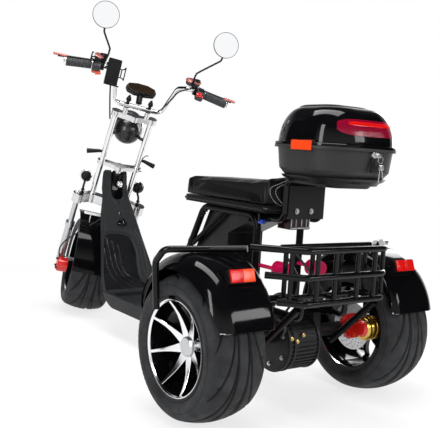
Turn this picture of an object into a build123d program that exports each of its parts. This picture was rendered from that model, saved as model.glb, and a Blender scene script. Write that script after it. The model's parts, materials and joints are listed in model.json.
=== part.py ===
from build123d import *
import os
from math import acos, cos, radians, sin, sqrt

# Motorized trike: a low scooter with one steered front wheel, two driven rear wheels,
# a bench seat on a battery box, rear fenders with guard bars, a cargo basket and a top box.
# Millimetres. +Y is forward, +X is the rider's right, +Z is up, the floor is z = 0.
# "Station" is the distance forward of the rear axle.

os.makedirs("parts", exist_ok=True)

# ---------------------------------------------------------------- driving dimensions
rear_axle_y = -726.7        # place of the rear axle, so that the origin is mid-length
wheelbase_head = 1319.2     # station of the steering axis at head_height
head_above_axle = 461.5
rake = 27.7                 # steering axis, degrees back from upright
steer_at_rest = -22.2       # stored with the bars turned to the right
track = 764.0               # rear wheels, centre to centre

tyre_radius = 238.5         # 215/40-12
head_height = tyre_radius + head_above_axle
tyre_width = 215.0
crown_radius = 250.0        # across the tread
rim_radius = 152.0          # bead seat
rim_width = 196.0
flange_radius = 164.0
flange_width = 7.0
barrel_wall = 5.0
spoke_count = 8
spoke_root, spoke_tip = 24.0, 10.0     # across a blade
spoke_width = 24.0
spoke_phase = 18.0
hub_radius = 46.0
hub_cap_radius = 31.0
disc_radius = 88.0
disc_thickness = 4.0
axle_radius = 10.0
bearing_gap = 0.08

wheel_gap = 9.0             # clear running space round a tyre
fit = 0.3                   # clearance where two pieces nearly touch

frame_tube = 32.0
rail_tube = 22.0            # basket, guard bars and box rack
fork_tube = 28.0
bar_tube = 22.0

# ---------------------------------------------------------------- shared planes
def at(x, station, z):
    """Point from its side offset, its station and its height."""
    return Vector(x, rear_axle_y + station, z)


rake_cos, rake_sin = cos(radians(rake)), sin(radians(rake))
turn_cos, turn_sin = cos(radians(steer_at_rest)), sin(radians(steer_at_rest))
# Local x runs across the fork, y forward of the steering axis, z up along it.
FORK = Plane(
    origin=at(0, wheelbase_head, head_height),
    x_dir=(turn_cos, rake_cos * turn_sin, rake_sin * turn_sin),
    z_dir=(0, -rake_sin, rake_cos),
)
# The same axis before the bars are turned: it carries the head tube.
HEAD = Plane(origin=FORK.origin, x_dir=(1, 0, 0), z_dir=FORK.z_dir)
front_offset = -15.4        # front axle, forward of the steering axis
lean = acos(sqrt(1 - (rake_sin * turn_sin) ** 2))
front_axle_height = (tyre_radius - crown_radius) * cos(lean) + crown_radius
front_drop = (
    head_height + front_offset * rake_sin * turn_cos - front_axle_height
) / rake_cos
FRONT_WHEEL = Plane(
    origin=FORK.from_local_coords(Vector(0, front_offset, -front_drop)),
    x_dir=FORK.z_dir,
    z_dir=FORK.x_dir,
)


def in_fork(x, forward, up):
    """Point given in the turned fork's own directions."""
    return FORK.from_local_coords(Vector(x, forward, up))


# ---------------------------------------------------------------- shared shapes
def add_tube(points, bend, diameter, mode=Mode.ADD):
    """Round tube along straight runs joined by arcs, into the open part."""
    with BuildLine() as run:
        if len(points) > 2:
            FilletPolyline(*points, radius=bend)
        else:
            Line(*points)
    with BuildSketch(Plane(origin=run.line @ 0, z_dir=run.line % 0)) as section:
        Circle(diameter / 2)
    sweep(sections=section.sketch, path=run.line, mode=mode)


def add_rod(start, end, diameter, end_diameter=None):
    """Straight rod or cone between two points, into the open part."""
    along = end - start
    with BuildSketch(Plane(origin=start, z_dir=along)) as section:
        Circle(diameter / 2)
    if end_diameter is None:
        extrude(section.sketch, amount=along.length)
    else:
        with BuildSketch(Plane(origin=end, z_dir=along)) as tip:
            Circle(end_diameter / 2)
        loft([section.sketch, tip.sketch])


def add_block(plane, length, width, height, corner=0.0):
    """Block that stands on a plane, its upright edges rounded, into the open part."""
    with BuildSketch(plane) as outline:
        if corner:
            RectangleRounded(length, width, corner)
        else:
            Rectangle(length, width)
    extrude(outline.sketch, amount=height)


def keep(name, part):
    """Label a finished piece and write its STEP file."""
    part.label = name
    export_step(part, f"parts/{name}.step")


# ---------------------------------------------------------------- wheels
# Wheel planes: local x is a radius, local z is the axle, pointing to the wheel's outer side.
sidewall_foot = tyre_width / 2 - 11
shoulder_share, sidewall_share = 0.237053, 0.643428      # of the height from flange to crown edge
belly_share = 0.169323
bead_half = rim_width / 2 - flange_width - fit


def tyre(axle):
    """Low-profile tyre turned about its axle."""
    half = tyre_width / 2
    # The crown ends where the shoulder arc begins, seen from the crown's own centre.
    edge = half - 21
    edge_radius = tyre_radius - crown_radius + sqrt(crown_radius**2 - edge**2)
    sidewall = edge_radius - flange_radius
    shoulder = edge_radius - shoulder_share * sidewall
    widest = edge_radius - sidewall_share * sidewall
    belly = flange_radius + belly_share * sidewall
    with BuildPart() as body:
        with BuildSketch(Plane(axle.origin, x_dir=axle.x_dir, z_dir=-axle.y_dir)) as section:
            with BuildLine():
                crown = ThreePointArc((edge_radius, -edge), (tyre_radius, 0), (edge_radius, edge))
                outer = ThreePointArc(
                    crown @ 1, (shoulder, half - 6), (widest, half)
                )
                wall = ThreePointArc(
                    outer @ 1, (belly, half - 4), (flange_radius + fit, sidewall_foot)
                )
                foot = Polyline(
                    wall @ 1,
                    (flange_radius + fit, bead_half),
                    (rim_radius + fit, bead_half),
                    (rim_radius + fit, -bead_half),
                    (flange_radius + fit, -bead_half),
                    (flange_radius + fit, -sidewall_foot),
                )
                inner_wall = ThreePointArc(
                    foot @ 1, (belly, -half + 4), (widest, -half)
                )
                ThreePointArc(inner_wall @ 1, (shoulder, -half + 6), crown @ 0)
            make_face()
        revolve(axis=Axis(axle.origin, axle.z_dir))
    return body.part


# Outer face of the dished spokes: place along the axle at the hub, part way and at the lip.
spoke_face_hub, spoke_face_mid, spoke_face_rim = 44.0, 58.0, 91.0
spoke_mid_radius = 98.0
hub_cap_depth = 9.0


def rim(axle, bore_end):
    """Deep dish wheel: barrel with two flanges, a hub, blade spokes and a brake disc."""
    half = rim_width / 2
    disc_place = -half + 26
    with BuildPart() as body:
        with BuildSketch(Plane(axle.origin, x_dir=axle.x_dir, z_dir=-axle.y_dir)):
            inner = rim_radius - barrel_wall
            with BuildLine():
                Polyline(
                    (inner, -half),
                    (flange_radius, -half),
                    (flange_radius, -half + flange_width),
                    (rim_radius, -half + flange_width),
                    (rim_radius, half - flange_width),
                    (flange_radius, half - flange_width),
                    (flange_radius, half),
                    (inner, half),
                    close=True,
                )
            make_face()
        revolve(axis=Axis(axle.origin, axle.z_dir))
        with BuildSketch(axle.offset(disc_place - 12)):
            Circle(hub_radius)
        extrude(amount=spoke_face_hub - disc_place + 12)
        with BuildSketch(axle.offset(disc_place)):
            Circle(disc_radius)
        extrude(amount=disc_thickness)
        with BuildSketch(axle.offset(spoke_face_hub - fit)):
            Circle(hub_cap_radius)
        extrude(amount=hub_cap_depth + fit)
        spoke_start, spoke_end = hub_radius - 8, rim_radius - 2
        with BuildSketch(Plane(axle.origin, x_dir=axle.x_dir, z_dir=-axle.y_dir)) as blade:
            with BuildLine():
                Polyline(
                    (spoke_start, spoke_face_hub - spoke_width),
                    (spoke_mid_radius, spoke_face_mid - spoke_width),
                    (spoke_end, spoke_face_rim - spoke_width),
                    (spoke_end, spoke_face_rim),
                    (spoke_mid_radius, spoke_face_mid),
                    (spoke_start, spoke_face_hub),
                    close=True,
                )
            make_face()
        with BuildSketch(axle) as taper:
            with BuildLine():
                Polyline(
                    (spoke_start, -spoke_root / 2),
                    (spoke_end, -spoke_tip / 2),
                    (spoke_end, spoke_tip / 2),
                    (spoke_start, spoke_root / 2),
                    close=True,
                )
            make_face()
        with BuildPart(mode=Mode.PRIVATE) as one_blade:
            extrude(blade.sketch, amount=spoke_root, both=True)
            extrude(taper.sketch, amount=half, mode=Mode.INTERSECT)
        for number in range(spoke_count):
            angle = spoke_phase + number * 360 / spoke_count
            add(one_blade.part.rotate(Axis(axle.origin, axle.z_dir), angle))
        with BuildSketch(axle.offset(-half)):
            Circle(axle_radius + bearing_gap)
        extrude(amount=half + bore_end, mode=Mode.SUBTRACT)
    return body.part


def side_wheel(side):
    """Plane of a rear wheel, its local z pointing outwards."""
    return Plane(origin=at(side * track / 2, 0, tyre_radius), x_dir=(0, 0, 1), z_dir=(side, 0, 0))


keep("left_tyre", tyre(side_wheel(-1)))
keep("right_tyre", tyre(side_wheel(1)))
keep("front_tyre", tyre(FRONT_WHEEL))
blind_bore = spoke_face_hub - 12
through_bore = rim_width / 2 + 1
# The front wheel's brake disc is on the left, so its plane points to the right.
keep("left_rim", rim(side_wheel(-1), blind_bore))
keep("right_rim", rim(side_wheel(1), blind_bore))
keep("front_rim", rim(FRONT_WHEEL, through_bore))

# ---------------------------------------------------------------- main frame
deck_floor, deck_top = 124.0, 181.0
deck_half = 152.0
deck_front, deck_rear = wheelbase_head - 205.2, 560.0     # stations
deck_well = 16.0                          # the mat lies this far below the rim
deck_wall = 4.0
rail_half = 100.0
cross_tube = 26.0
rail_height = deck_floor + frame_tube / 2 + 2
axle_rail_height = 330.0
seat_rail_height = 645.0
seat_post_station = 90.0
front_post, front_post_bend, seat_rail_bend = 576.0, 330.0, 415.0    # the seat frame's front legs
brace_top, brace_foot, brace_drop = 280.0, 476.0, 31.652
brace_foot_height = front_post_bend - brace_drop + (seat_rail_height - front_post_bend) * (
    front_post - brace_foot
) / (front_post - seat_rail_bend)
head_tube_diameter = 50.0
stem_diameter = 30.0
clamp_to_axle = 361.7                     # front axle to the lower clamp, along the axis
lower_clamp, lower_clamp_thickness = clamp_to_axle - front_drop, 46.0
head_bottom = lower_clamp + lower_clamp_thickness / 2 + 1.1
head_top = 20.0                           # along the steering axis
down_tube = 34.0
shield_to_down_tube = 47.0

# Leg shield: leaning panel that follows the down tube, wide at the deck, narrow at the head.
shield_middle = (head_height + deck_top + fit) / 2


def behind_axis(distance, height):
    """Station of a point behind the steering axis at that height."""
    return wheelbase_head + (head_height - height) * rake_sin / rake_cos - distance


# height, half width, station of the rear face, depth of the side walls
shield_rows = (
    *(
        (height, half_width, behind_axis(distance, height), depth)
        for height, half_width, distance, depth in (
            (head_height + 30, 56.0, -14.55, 30.0),
            (head_height - 10, 58.0, 3.45, 30.0),
            (head_height - 60, 61.0, 34.701, 32.0),
            (head_height - 100, 64.0, 69.701, 28.0),
            (shield_middle + 79.35, 84.0, 141.702, 30.0),
            (shield_middle - 40.65, 106.0, 261.704, 30.0),
        )
    ),
    (deck_top + 59, 137.0, deck_front + 22, 26.0),
    (deck_top + fit, 146.0, deck_front - 22, 22.0),
)
shield_knee = shield_rows[5]
slot_half, slot_foot = 31.0, head_height - 112    # opening of the shield round the head tube
down_tube_foot = wheelbase_head - 186.0
down_tube_end = down_tube_foot - 173.2

down_tube_run = (
    HEAD.from_local_coords(Vector(0, -14, head_bottom + 50)),
    at(0, shield_knee[2] + shield_to_down_tube, shield_knee[0]),
    at(0, down_tube_foot, rail_height),
    at(0, down_tube_end, rail_height),
)
down_tube_bend = 70.0

with BuildPart() as main_frame:
    with BuildSketch(HEAD.offset(head_bottom)):
        Circle(head_tube_diameter / 2)
    extrude(amount=head_top - head_bottom)
    add_tube(down_tube_run, down_tube_bend, down_tube)
    with BuildSketch(HEAD.offset(head_bottom)):
        Circle(stem_diameter / 2 + bearing_gap)
    extrude(amount=head_top - head_bottom, mode=Mode.SUBTRACT)
    for side in (-1, 1):
        x = side * rail_half
        add_tube(
            (
                at(x, down_tube_end + 40, rail_height),
                at(x, 330, rail_height),
                at(x, 190, axle_rail_height),
                at(x, -90, axle_rail_height),
            ),
            60,
            frame_tube,
        )
    for station, height in (
        (down_tube_end + 25, rail_height),
        (deck_rear, rail_height),
        (150, axle_rail_height),
    ):
        add_rod(at(-rail_half, station, height), at(rail_half, station, height), cross_tube)
keep("main_frame", main_frame.part)

with BuildPart() as seat_frame:
    for side in (-1, 1):
        x = side * rail_half
        add_tube(
            (
                at(x, front_post, deck_top + fit),
                at(x, front_post, front_post_bend),
                at(x, seat_rail_bend, seat_rail_height),
                at(x, seat_post_station, seat_rail_height),
                at(x, seat_post_station, axle_rail_height + frame_tube / 2 + fit),
            ),
            50,
            cross_tube,
        )
        add_rod(at(x, brace_top, seat_rail_height), at(x, brace_foot, brace_foot_height), 18)
    for station in (172, 380):
        add_rod(
            at(-rail_half, station, seat_rail_height), at(rail_half, station, seat_rail_height), 20
        )
keep("seat_frame", seat_frame.part)

# ---------------------------------------------------------------- leg shield and deck
shield_wall = 4.0
shield_corner = 16.0


def shield_form(inset, forward):
    """Side profile crossed with the front outline: inset at the sides and rear, longer in front."""
    with BuildPart() as form:
        with BuildSketch(Plane.YZ.offset(-deck_half)):
            rear = [(rear_axle_y + s + inset, z) for z, w, s, d in shield_rows]
            front = [(rear_axle_y + s + d + forward, z) for z, w, s, d in shield_rows]
            with BuildLine():
                Polyline(*rear, *reversed(front), close=True)
            make_face()
        extrude(amount=2 * deck_half)
        with BuildSketch(Plane.XZ):
            right = [(w - inset, z) for z, w, s, d in shield_rows]
            left = [(inset - w, z) for z, w, s, d in shield_rows]
            with BuildLine():
                Polyline(*right, *reversed(left), close=True)
            make_face()
            fillet(vertices().group_by(Axis.Y)[-1], radius=shield_corner - inset)
        extrude(amount=-1000, mode=Mode.INTERSECT)
    return form.part


with BuildPart() as leg_shield:
    add(shield_form(0, 0))
    add(shield_form(shield_wall, 80), mode=Mode.SUBTRACT)
    with BuildSketch(Plane.XZ):
        with Locations((0, slot_foot + head_height / 2)):
            RectangleRounded(2 * slot_half, head_height, slot_half - 1)
    extrude(amount=-1000, mode=Mode.SUBTRACT)
keep("leg_shield", leg_shield.part)

nose_length, nose_middle, nose_middle_height = 100.0, 42.0, 145.0
deck_mouth = 8.0            # the hollow below ends this far short of the nose
well_rear, well_front, well_inset = deck_rear + 40, deck_front - 54, 22.0
with BuildPart() as floor_deck:
    with BuildSketch(Plane.YZ.offset(-deck_half)) as deck_side:
        with BuildLine():
            underside = Line(
                (rear_axle_y + deck_rear, deck_floor),
                (rear_axle_y + deck_front - nose_length, deck_floor),
            )
            nose = ThreePointArc(
                underside @ 1,
                (rear_axle_y + deck_front - nose_middle, nose_middle_height),
                (rear_axle_y + deck_front, deck_top),
            )
            Polyline(nose @ 1, (rear_axle_y + deck_rear, deck_top), underside @ 0)
        make_face()
    extrude(amount=2 * deck_half)
    fillet(edges().filter_by(Axis.Z), radius=12)
    hollow_end = deck_front - nose_length - deck_mouth
    with BuildSketch(Plane.XY.offset(deck_floor)) as hollow:
        with Locations((0, rear_axle_y + (deck_rear - 10 + hollow_end) / 2)):
            Rectangle(2 * (deck_half - deck_wall), hollow_end - deck_rear + 10)
    extrude(amount=deck_top - deck_well - deck_wall - deck_floor, mode=Mode.SUBTRACT)
    with BuildSketch(Plane.XY.offset(deck_top - deck_well)) as well:
        with Locations((0, rear_axle_y + (well_rear + well_front) / 2)):
            RectangleRounded(2 * (deck_half - well_inset), well_front - well_rear, 20)
    extrude(amount=deck_well, mode=Mode.SUBTRACT)
    add_tube(down_tube_run, down_tube_bend, down_tube + 4, mode=Mode.SUBTRACT)
keep("floor_deck", floor_deck.part)

# ---------------------------------------------------------------- battery box, seat
battery_half = 82.0
battery_top = seat_rail_height - 10 - 3
with BuildPart() as battery_box:
    with BuildSketch(Plane.YZ.offset(-battery_half)):
        with BuildLine():
            Polyline(
                *(
                    (rear_axle_y + station, height)
                    for station, height in (
                        (165, battery_top),
                        (165, battery_top - 20),
                        (280, battery_top - 72),
                        (280, 230),
                        (320, deck_top + fit),
                        (556, deck_top + fit),
                        (556, 330),
                        (405, battery_top),
                    )
                ),
                close=True,
            )
        make_face()
        fillet(vertices(), radius=8)
    extrude(amount=2 * battery_half)
keep("battery_box", battery_box.part)

seat_base_bottom = seat_rail_height + cross_tube / 2 + fit
seat_base_thickness = 24.0
seat_half = 128.0
seat_front, seat_rear = 580.0, -34.0
seat_tail_half = 66.0
seat_nose = 60.0            # length of the round front


def seat_outline(inset):
    """Plan of the bench: round nose, and a tail that narrows between the rack's posts."""
    half = seat_half - inset
    with BuildSketch() as plan:
        with BuildLine():
            tail_half = seat_tail_half - inset
            tail = Polyline(
                (-half, rear_axle_y + 26),
                (-tail_half, rear_axle_y - 8),
                (-tail_half, rear_axle_y + seat_rear + inset),
                (tail_half, rear_axle_y + seat_rear + inset),
                (tail_half, rear_axle_y - 8),
                (half, rear_axle_y + 26),
            )
            right = Line(tail @ 1, (half - 8, rear_axle_y + seat_front - seat_nose))
            nose = ThreePointArc(
                right @ 1, (0, rear_axle_y + seat_front - inset),
                (-half + 8, rear_axle_y + seat_front - seat_nose),
            )
            Line(nose @ 1, tail @ 0)
        make_face()
    return plan.sketch


with BuildPart() as seat_base:
    extrude(seat_outline(3).moved(Location((0, 0, seat_base_bottom))), amount=seat_base_thickness)
keep("seat_base", seat_base.part)

cushion_bottom = seat_base_bottom + seat_base_thickness + fit
with BuildPart() as seat_cushion:
    extrude(seat_outline(0).moved(Location((0, 0, cushion_bottom))), amount=120)
    with BuildSketch(Plane.YZ.offset(-seat_half)):
        with BuildLine():
            Polyline(
                *(
                    (rear_axle_y + station, height)
                    for station, height in (
                        (seat_rear, cushion_bottom),
                        (seat_rear, cushion_bottom + 105),
                        (-12, cushion_bottom + 105),
                        (42, cushion_bottom + 87),
                        (120, cushion_bottom + 79),
                        (seat_front - seat_nose, cushion_bottom + 68),
                        (seat_front, cushion_bottom + 52),
                        (seat_front, cushion_bottom),
                    )
                ),
                close=True,
            )
        make_face()
    extrude(amount=2 * seat_half, mode=Mode.INTERSECT)
keep("seat_cushion", seat_cushion.part)

# ---------------------------------------------------------------- box rack and top box
rack_half = 81.0
rack_height = seat_rail_height + 131
rack_post_station, rack_rear_station = -26.0, -248.0
rack_foot = seat_post_station - cross_tube / 2 - fit
with BuildPart() as box_rack:
    add_tube(
        (
            at(-rack_half, rack_foot - 2, seat_rail_height - 6),
            at(-rack_half, rack_post_station, seat_rail_height - 6),
            at(-rack_half, rack_post_station, rack_height),
            at(-rack_half, rack_rear_station, rack_height),
            at(rack_half, rack_rear_station, rack_height),
            at(rack_half, rack_post_station, rack_height),
            at(rack_half, rack_post_station, seat_rail_height - 6),
            at(rack_half, rack_foot - 2, seat_rail_height - 6),
        ),
        30,
        rail_tube,
    )
    # Strap on the seat posts, plate behind the rack's posts, and the flat under the box.
    add_block(
        Plane(at(0, rack_foot - 4, seat_rail_height - 19)), 2 * (rail_half + 12), 8, 26
    )
    rack_plate = rack_height - seat_rail_height - 19
    add_block(
        Plane(at(0, rack_post_station - 13, seat_rail_height)), 2 * rack_half, 7, rack_plate
    )
    add_block(
        Plane(at(0, (rack_post_station + rack_rear_station) / 2, rack_height - 4)),
        2 * rack_half,
        60,
        4,
    )
keep("box_rack", box_rack.part)

box_station = -156.0
box_half_width, box_half_length = 180.0, 168.0
box_corner = 140.0
box_wall = 4.0
box_bottom = rack_height + 19
box_seam = box_bottom + 98
box_foot_inset = 34.0
seam_lip, seam_height = 7.0, 9.0
box_feet_top = box_bottom + 6


def box_plan(height, inset):
    """Plan of the top box at one height, inset from its widest outline."""
    with BuildSketch(Plane(at(0, box_station, height))) as plan:
        RectangleRounded(
            2 * (box_half_width - inset), 2 * (box_half_length - inset), box_corner - inset
        )
    return plan.sketch


def bin_form(inset, floor):
    """Tapering tub with a turned-in foot."""
    with BuildPart() as form:
        loft([box_plan(floor, box_foot_inset + inset), box_plan(floor + 24, 12 + inset)])
        loft([box_plan(floor + 24, 12 + inset), box_plan(box_seam, 3 + inset)])
    return form.part


# Dome of the lid: height, inset
lid_rows = (
    (box_seam + fit, 3.0),
    (box_seam + 43, 8.0),
    (box_seam + 82, 22.0),
    (box_seam + 111, 46.0),
    (box_seam + 127, 82.0),
)


def lid_form(inset):
    """Domed lid built up in steps."""
    with BuildPart() as form:
        for (low, low_inset), (high, high_inset) in zip(lid_rows, lid_rows[1:]):
            loft([box_plan(low, low_inset + inset), box_plan(high - inset / 2, high_inset + inset)])
    return form.part


hinge_station = box_station + box_half_length + seam_lip + 5
hinge_height = box_seam + fit / 2
hinge_radius, hinge_pin = 5.0, 5.0
lid_knuckle = 30.0
bin_knuckle = 22.0


def knuckle(start, length, height):
    """Hinge barrel along X with the leaf that ties it to the box's lip."""
    with BuildPart() as piece:
        add_rod(
            at(start, hinge_station, hinge_height),
            at(start + length, hinge_station, hinge_height),
            2 * hinge_radius,
        )
        with BuildSketch(
            Plane(at(start + length / 2, hinge_station - 6, height))
        ) as leaf:
            Rectangle(length, 12)
        extrude(leaf.sketch, amount=4)
    return piece.part


with BuildPart() as box_bin:
    add(bin_form(0, box_bottom))
    extrude(box_plan(box_seam - seam_height, -seam_lip), amount=seam_height)
    add(bin_form(box_wall, box_bottom + box_wall), mode=Mode.SUBTRACT)
    for side in (-1, 1):
        for station in (rack_post_station - 50, rack_rear_station + 30):
            add_rod(
                at(side * rack_half, station, rack_height + rail_tube / 2 + fit),
                at(side * rack_half, station, box_feet_top - 4),
                18,
            )
    for start in (-lid_knuckle - fit - bin_knuckle, lid_knuckle + fit):
        add(knuckle(start, bin_knuckle, box_seam - 4))
    add_rod(
        at(-lid_knuckle - 4, hinge_station, hinge_height),
        at(lid_knuckle + 4, hinge_station, hinge_height),
        hinge_pin,
    )
keep("box_bin", box_bin.part)

with BuildPart() as box_lid:
    add(lid_form(0))
    extrude(box_plan(box_seam + fit, -seam_lip), amount=seam_height)
    add(lid_form(box_wall), mode=Mode.SUBTRACT)
    add(knuckle(-lid_knuckle, 2 * lid_knuckle, box_seam + fit))
    with BuildSketch(Plane(at(-lid_knuckle, hinge_station, hinge_height), z_dir=(1, 0, 0))):
        Circle(hinge_pin / 2 + bearing_gap)
    extrude(amount=2 * lid_knuckle, mode=Mode.SUBTRACT)
keep("box_lid", box_lid.part)

# ---------------------------------------------------------------- fenders
fender_inside, fender_outside = 120.0, 116.0         # reach from the wheel's middle
fender_inner, fender_outer = track / 2 - fender_inside, track / 2 + fender_outside
fender_wall = 4.0
arch_radius = tyre_radius + wheel_gap
fender_crown_height = tyre_radius + arch_radius + 52
fender_foot, fender_tail = tyre_radius + 47.5, tyre_radius + 99.5     # heights of the ends
outer_round, inner_round = 74.0, 30.0


def fender_form(side, inset):
    """Arched cover over one rear wheel, open below."""
    with BuildPart() as form:
        with BuildSketch(Plane.YZ.offset(side * (fender_inner + inset))):
            with BuildLine():
                arch = ThreePointArc(
                    (rear_axle_y + 246 - inset, fender_foot - inset),
                    (rear_axle_y + 4, fender_crown_height - inset),
                    (rear_axle_y - 244 + inset, fender_tail - inset),
                )
                Line(arch @ 1, arch @ 0)
            make_face()
        extrude(amount=side * (fender_outer - fender_inner - 2 * inset))
        rounds = edges().filter_by(GeomType.CIRCLE).sort_by(Axis.X)
        outer_edge = rounds[0] if side < 0 else rounds[-1]
        fillet(outer_edge, radius=outer_round - inset)
        rounds = edges().filter_by(GeomType.CIRCLE).sort_by(Axis.X)
        fillet(rounds[-1] if side < 0 else rounds[0], radius=inner_round - inset)
    return form.part


for side, name in ((-1, "left"), (1, "right")):
    with BuildPart() as fender:
        add(fender_form(side, 0))
        add(fender_form(side, fender_wall), mode=Mode.SUBTRACT)
        with BuildSketch(Plane.YZ.offset(side * (fender_outer + 5))):
            with Locations((rear_axle_y, tyre_radius)):
                Circle(arch_radius)
        extrude(amount=-side * (fender_outer - fender_inner + 10), mode=Mode.SUBTRACT)
    keep(f"{name}_fender", fender.part)

# ---------------------------------------------------------------- lamps on the body
fender_lamp_height = fender_crown_height - 48
lamp_width, lamp_height, lamp_depth = 92.0, 40.0, 26.0
with BuildPart() as fender_lamps:
    for side in (-1, 1):
        lamp_plane = Plane(
            at(side * (track / 2 - 16), -170, fender_lamp_height),
            x_dir=(1, 0, 0),
            z_dir=(0, -1, 0.35),
        )
        with BuildSketch(lamp_plane):
            RectangleRounded(lamp_width, lamp_height, 5)
        extrude(amount=lamp_depth)
    for side in (-1, 1):
        add(fender_form(side, -fit), mode=Mode.SUBTRACT)
keep("fender_lamps", fender_lamps.part)

with BuildPart() as tail_lamp:
    add_block(
        Plane(at(0, seat_rear + 52, seat_base_bottom - fit - 52)), 2 * 46, 70, 52, 8
    )
keep("tail_lamp", tail_lamp.part)

marker_half, marker_height, marker_radius = 76.0, 472.0, 27.0
marker_arm = 90.0           # side reach of the arms on the seat posts
with BuildPart() as marker_lamps:
    for side in (-1, 1):
        add_rod(
            at(side * marker_arm, seat_post_station - cross_tube / 2 - fit, marker_height),
            at(side * marker_arm, -10, marker_height),
            14,
        )
        add_rod(
            at(side * marker_half, 0, marker_height),
            at(side * marker_half, -56, marker_height),
            2 * marker_radius,
        )
keep("marker_lamps", marker_lamps.part)

# ---------------------------------------------------------------- guard bars and basket
guard_out = fender_outer + rail_tube / 2 + fit
guard_top = 551.0
with BuildPart() as guard_bars:
    for side in (-1, 1):
        add_tube(
            (
                at(side * 300, -112, guard_top + 12),
                at(side * (track / 2 - 2), -20, guard_top),
                at(side * guard_out, 36, guard_top - 5),
                at(side * guard_out, 84, guard_top - 51),
                at(side * guard_out, 62, 352),
            ),
            26,
            rail_tube,
        )
keep("guard_bars", guard_bars.part)

basket_rear, basket_front = -250.0, -158.0
basket_flat_half = 170.0
# Rear face rails: height, side reach of the flared ends
basket_rails = ((570.0, 297.0), (487.0, 262.0), (405.0, 232.0))
basket_posts = (-205.0, -128.0, -50.0, 50.0, 128.0, 205.0)
basket_front_posts = (-180.0, -65.0, 65.0, 180.0)
with BuildPart() as rear_basket:
    for height, reach in basket_rails:
        flare = reach - basket_flat_half
        add_tube(
            (
                at(-reach, basket_rear + flare, height),
                at(-basket_flat_half, basket_rear, height),
                at(basket_flat_half, basket_rear, height),
                at(reach, basket_rear + flare, height),
            ),
            40,
            rail_tube,
        )
    for x in basket_posts:
        station = basket_rear + max(0, abs(x) - basket_flat_half)
        add_rod(at(x, station, basket_rails[-1][0]), at(x, station, basket_rails[0][0]), 16)
    # Front face and floor.
    for height in (basket_rails[0][0], basket_rails[-1][0]):
        add_rod(at(-200, basket_front, height), at(200, basket_front, height), 20)
    for x in basket_front_posts:
        add_rod(
            at(x, basket_front, basket_rails[-1][0]), at(x, basket_front, basket_rails[0][0]), 16
        )
    for x in (-150.0, 0.0, 150.0):
        add_rod(
            at(x, basket_rear, basket_rails[-1][0]), at(x, basket_front, basket_rails[-1][0]), 14
        )
    # Arms to the ends of the main rails.
    for side in (-1, 1):
        add_tube(
            (
                at(side * rail_half, -90 - fit, axle_rail_height),
                at(side * rail_half, basket_front, axle_rail_height),
                at(side * rail_half, basket_front, basket_rails[-1][0]),
            ),
            24,
            20,
        )
keep("rear_basket", rear_basket.part)

# ---------------------------------------------------------------- rear axle
axle_tube = 46.0
hub_inner = track / 2 - rim_width / 2 + 26 - 12     # inner end of a rear hub, from the middle
motor_radius = 92.0
motor_left, motor_right = -81.7, 62.0
motor_height = 214.0
with BuildPart() as axle_housing:
    add_rod(at(-hub_inner + 5, 0, tyre_radius), at(hub_inner - 5, 0, tyre_radius), axle_tube)
    for side in (-1, 1):
        add_rod(
            at(side * (hub_inner - 5), 0, tyre_radius),
            at(side * (track / 2 + spoke_face_hub - 16), 0, tyre_radius),
            2 * axle_radius,
        )
        add_block(
            Plane(at(side * rail_half, 0, tyre_radius)),
            36,
            60,
            axle_rail_height - frame_tube / 2 - fit - tyre_radius,
        )
keep("axle_housing", axle_housing.part)

with BuildPart() as drive_motor:
    add_rod(at(motor_left, 0, motor_height), at(motor_right, 0, motor_height), 2 * motor_radius)
    with BuildSketch(Plane(at(motor_left, 0, tyre_radius), z_dir=(1, 0, 0))):
        Circle(axle_tube / 2 + fit)
    extrude(amount=motor_right - motor_left, mode=Mode.SUBTRACT)
keep("drive_motor", drive_motor.part)

with BuildPart() as rear_links:
    for side in (-1, 1):
        add_rod(at(side * 174, -32, 205), at(side * 174, -222, 386), 24)
keep("rear_links", rear_links.part)

# ---------------------------------------------------------------- fork
tube_half, tube_forward = 86.0, 22.8
top_clamp, middle_clamp = 315.2, 51.5     # mid-planes, along the axis
leg_half, leg_forward = 153.3, -7.4
stanchion, slider = 27.0, 40.0
collar_height = 214.2 - front_drop
riser_half, riser_forward, bar_height = 52.0, 0.0, 374.2


def add_clamp(middle, thickness, bosses):
    """Clamp plate across the fork: round bosses joined by a web, into the open part."""
    with BuildSketch(FORK.offset(middle - thickness / 2)) as plate:
        for x, forward, diameter in bosses:
            with Locations((x, forward)):
                Circle(diameter / 2)
        for (x1, f1, d1), (x2, f2, d2) in zip(bosses, bosses[1:]):
            with BuildLine():
                Polyline(
                    (x1, f1 - d1 * 0.36), (x2, f2 - d2 * 0.36),
                    (x2, f2 + d2 * 0.36), (x1, f1 + d1 * 0.36), close=True,
                )
            make_face()
    extrude(plate.sketch, amount=thickness)


with BuildPart() as steering_stem:
    with BuildSketch(FORK.offset(lower_clamp)):
        Circle(stem_diameter / 2)
    extrude(amount=middle_clamp - lower_clamp)
    add_clamp(
        lower_clamp,
        lower_clamp_thickness,
        (
            (-leg_half, leg_forward, 52),
            (-tube_half, tube_forward, 44),
            (0, 4, 56),
            (tube_half, tube_forward, 44),
            (leg_half, leg_forward, 52),
        ),
    )
    add_clamp(
        middle_clamp, 20, ((-tube_half, tube_forward, 42), (0, 0, 54), (tube_half, tube_forward, 42))
    )
keep("steering_stem", steering_stem.part)

with BuildPart() as fork_tubes:
    for side in (-1, 1):
        for low, high in (
            (lower_clamp + lower_clamp_thickness / 2 + fit, middle_clamp - 10 - fit),
            (middle_clamp + 10 + fit, top_clamp - 13 - fit),
        ):
            add_rod(
                in_fork(side * tube_half, tube_forward, low),
                in_fork(side * tube_half, tube_forward, high),
                fork_tube,
            )
keep("fork_tubes", fork_tubes.part)

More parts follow.
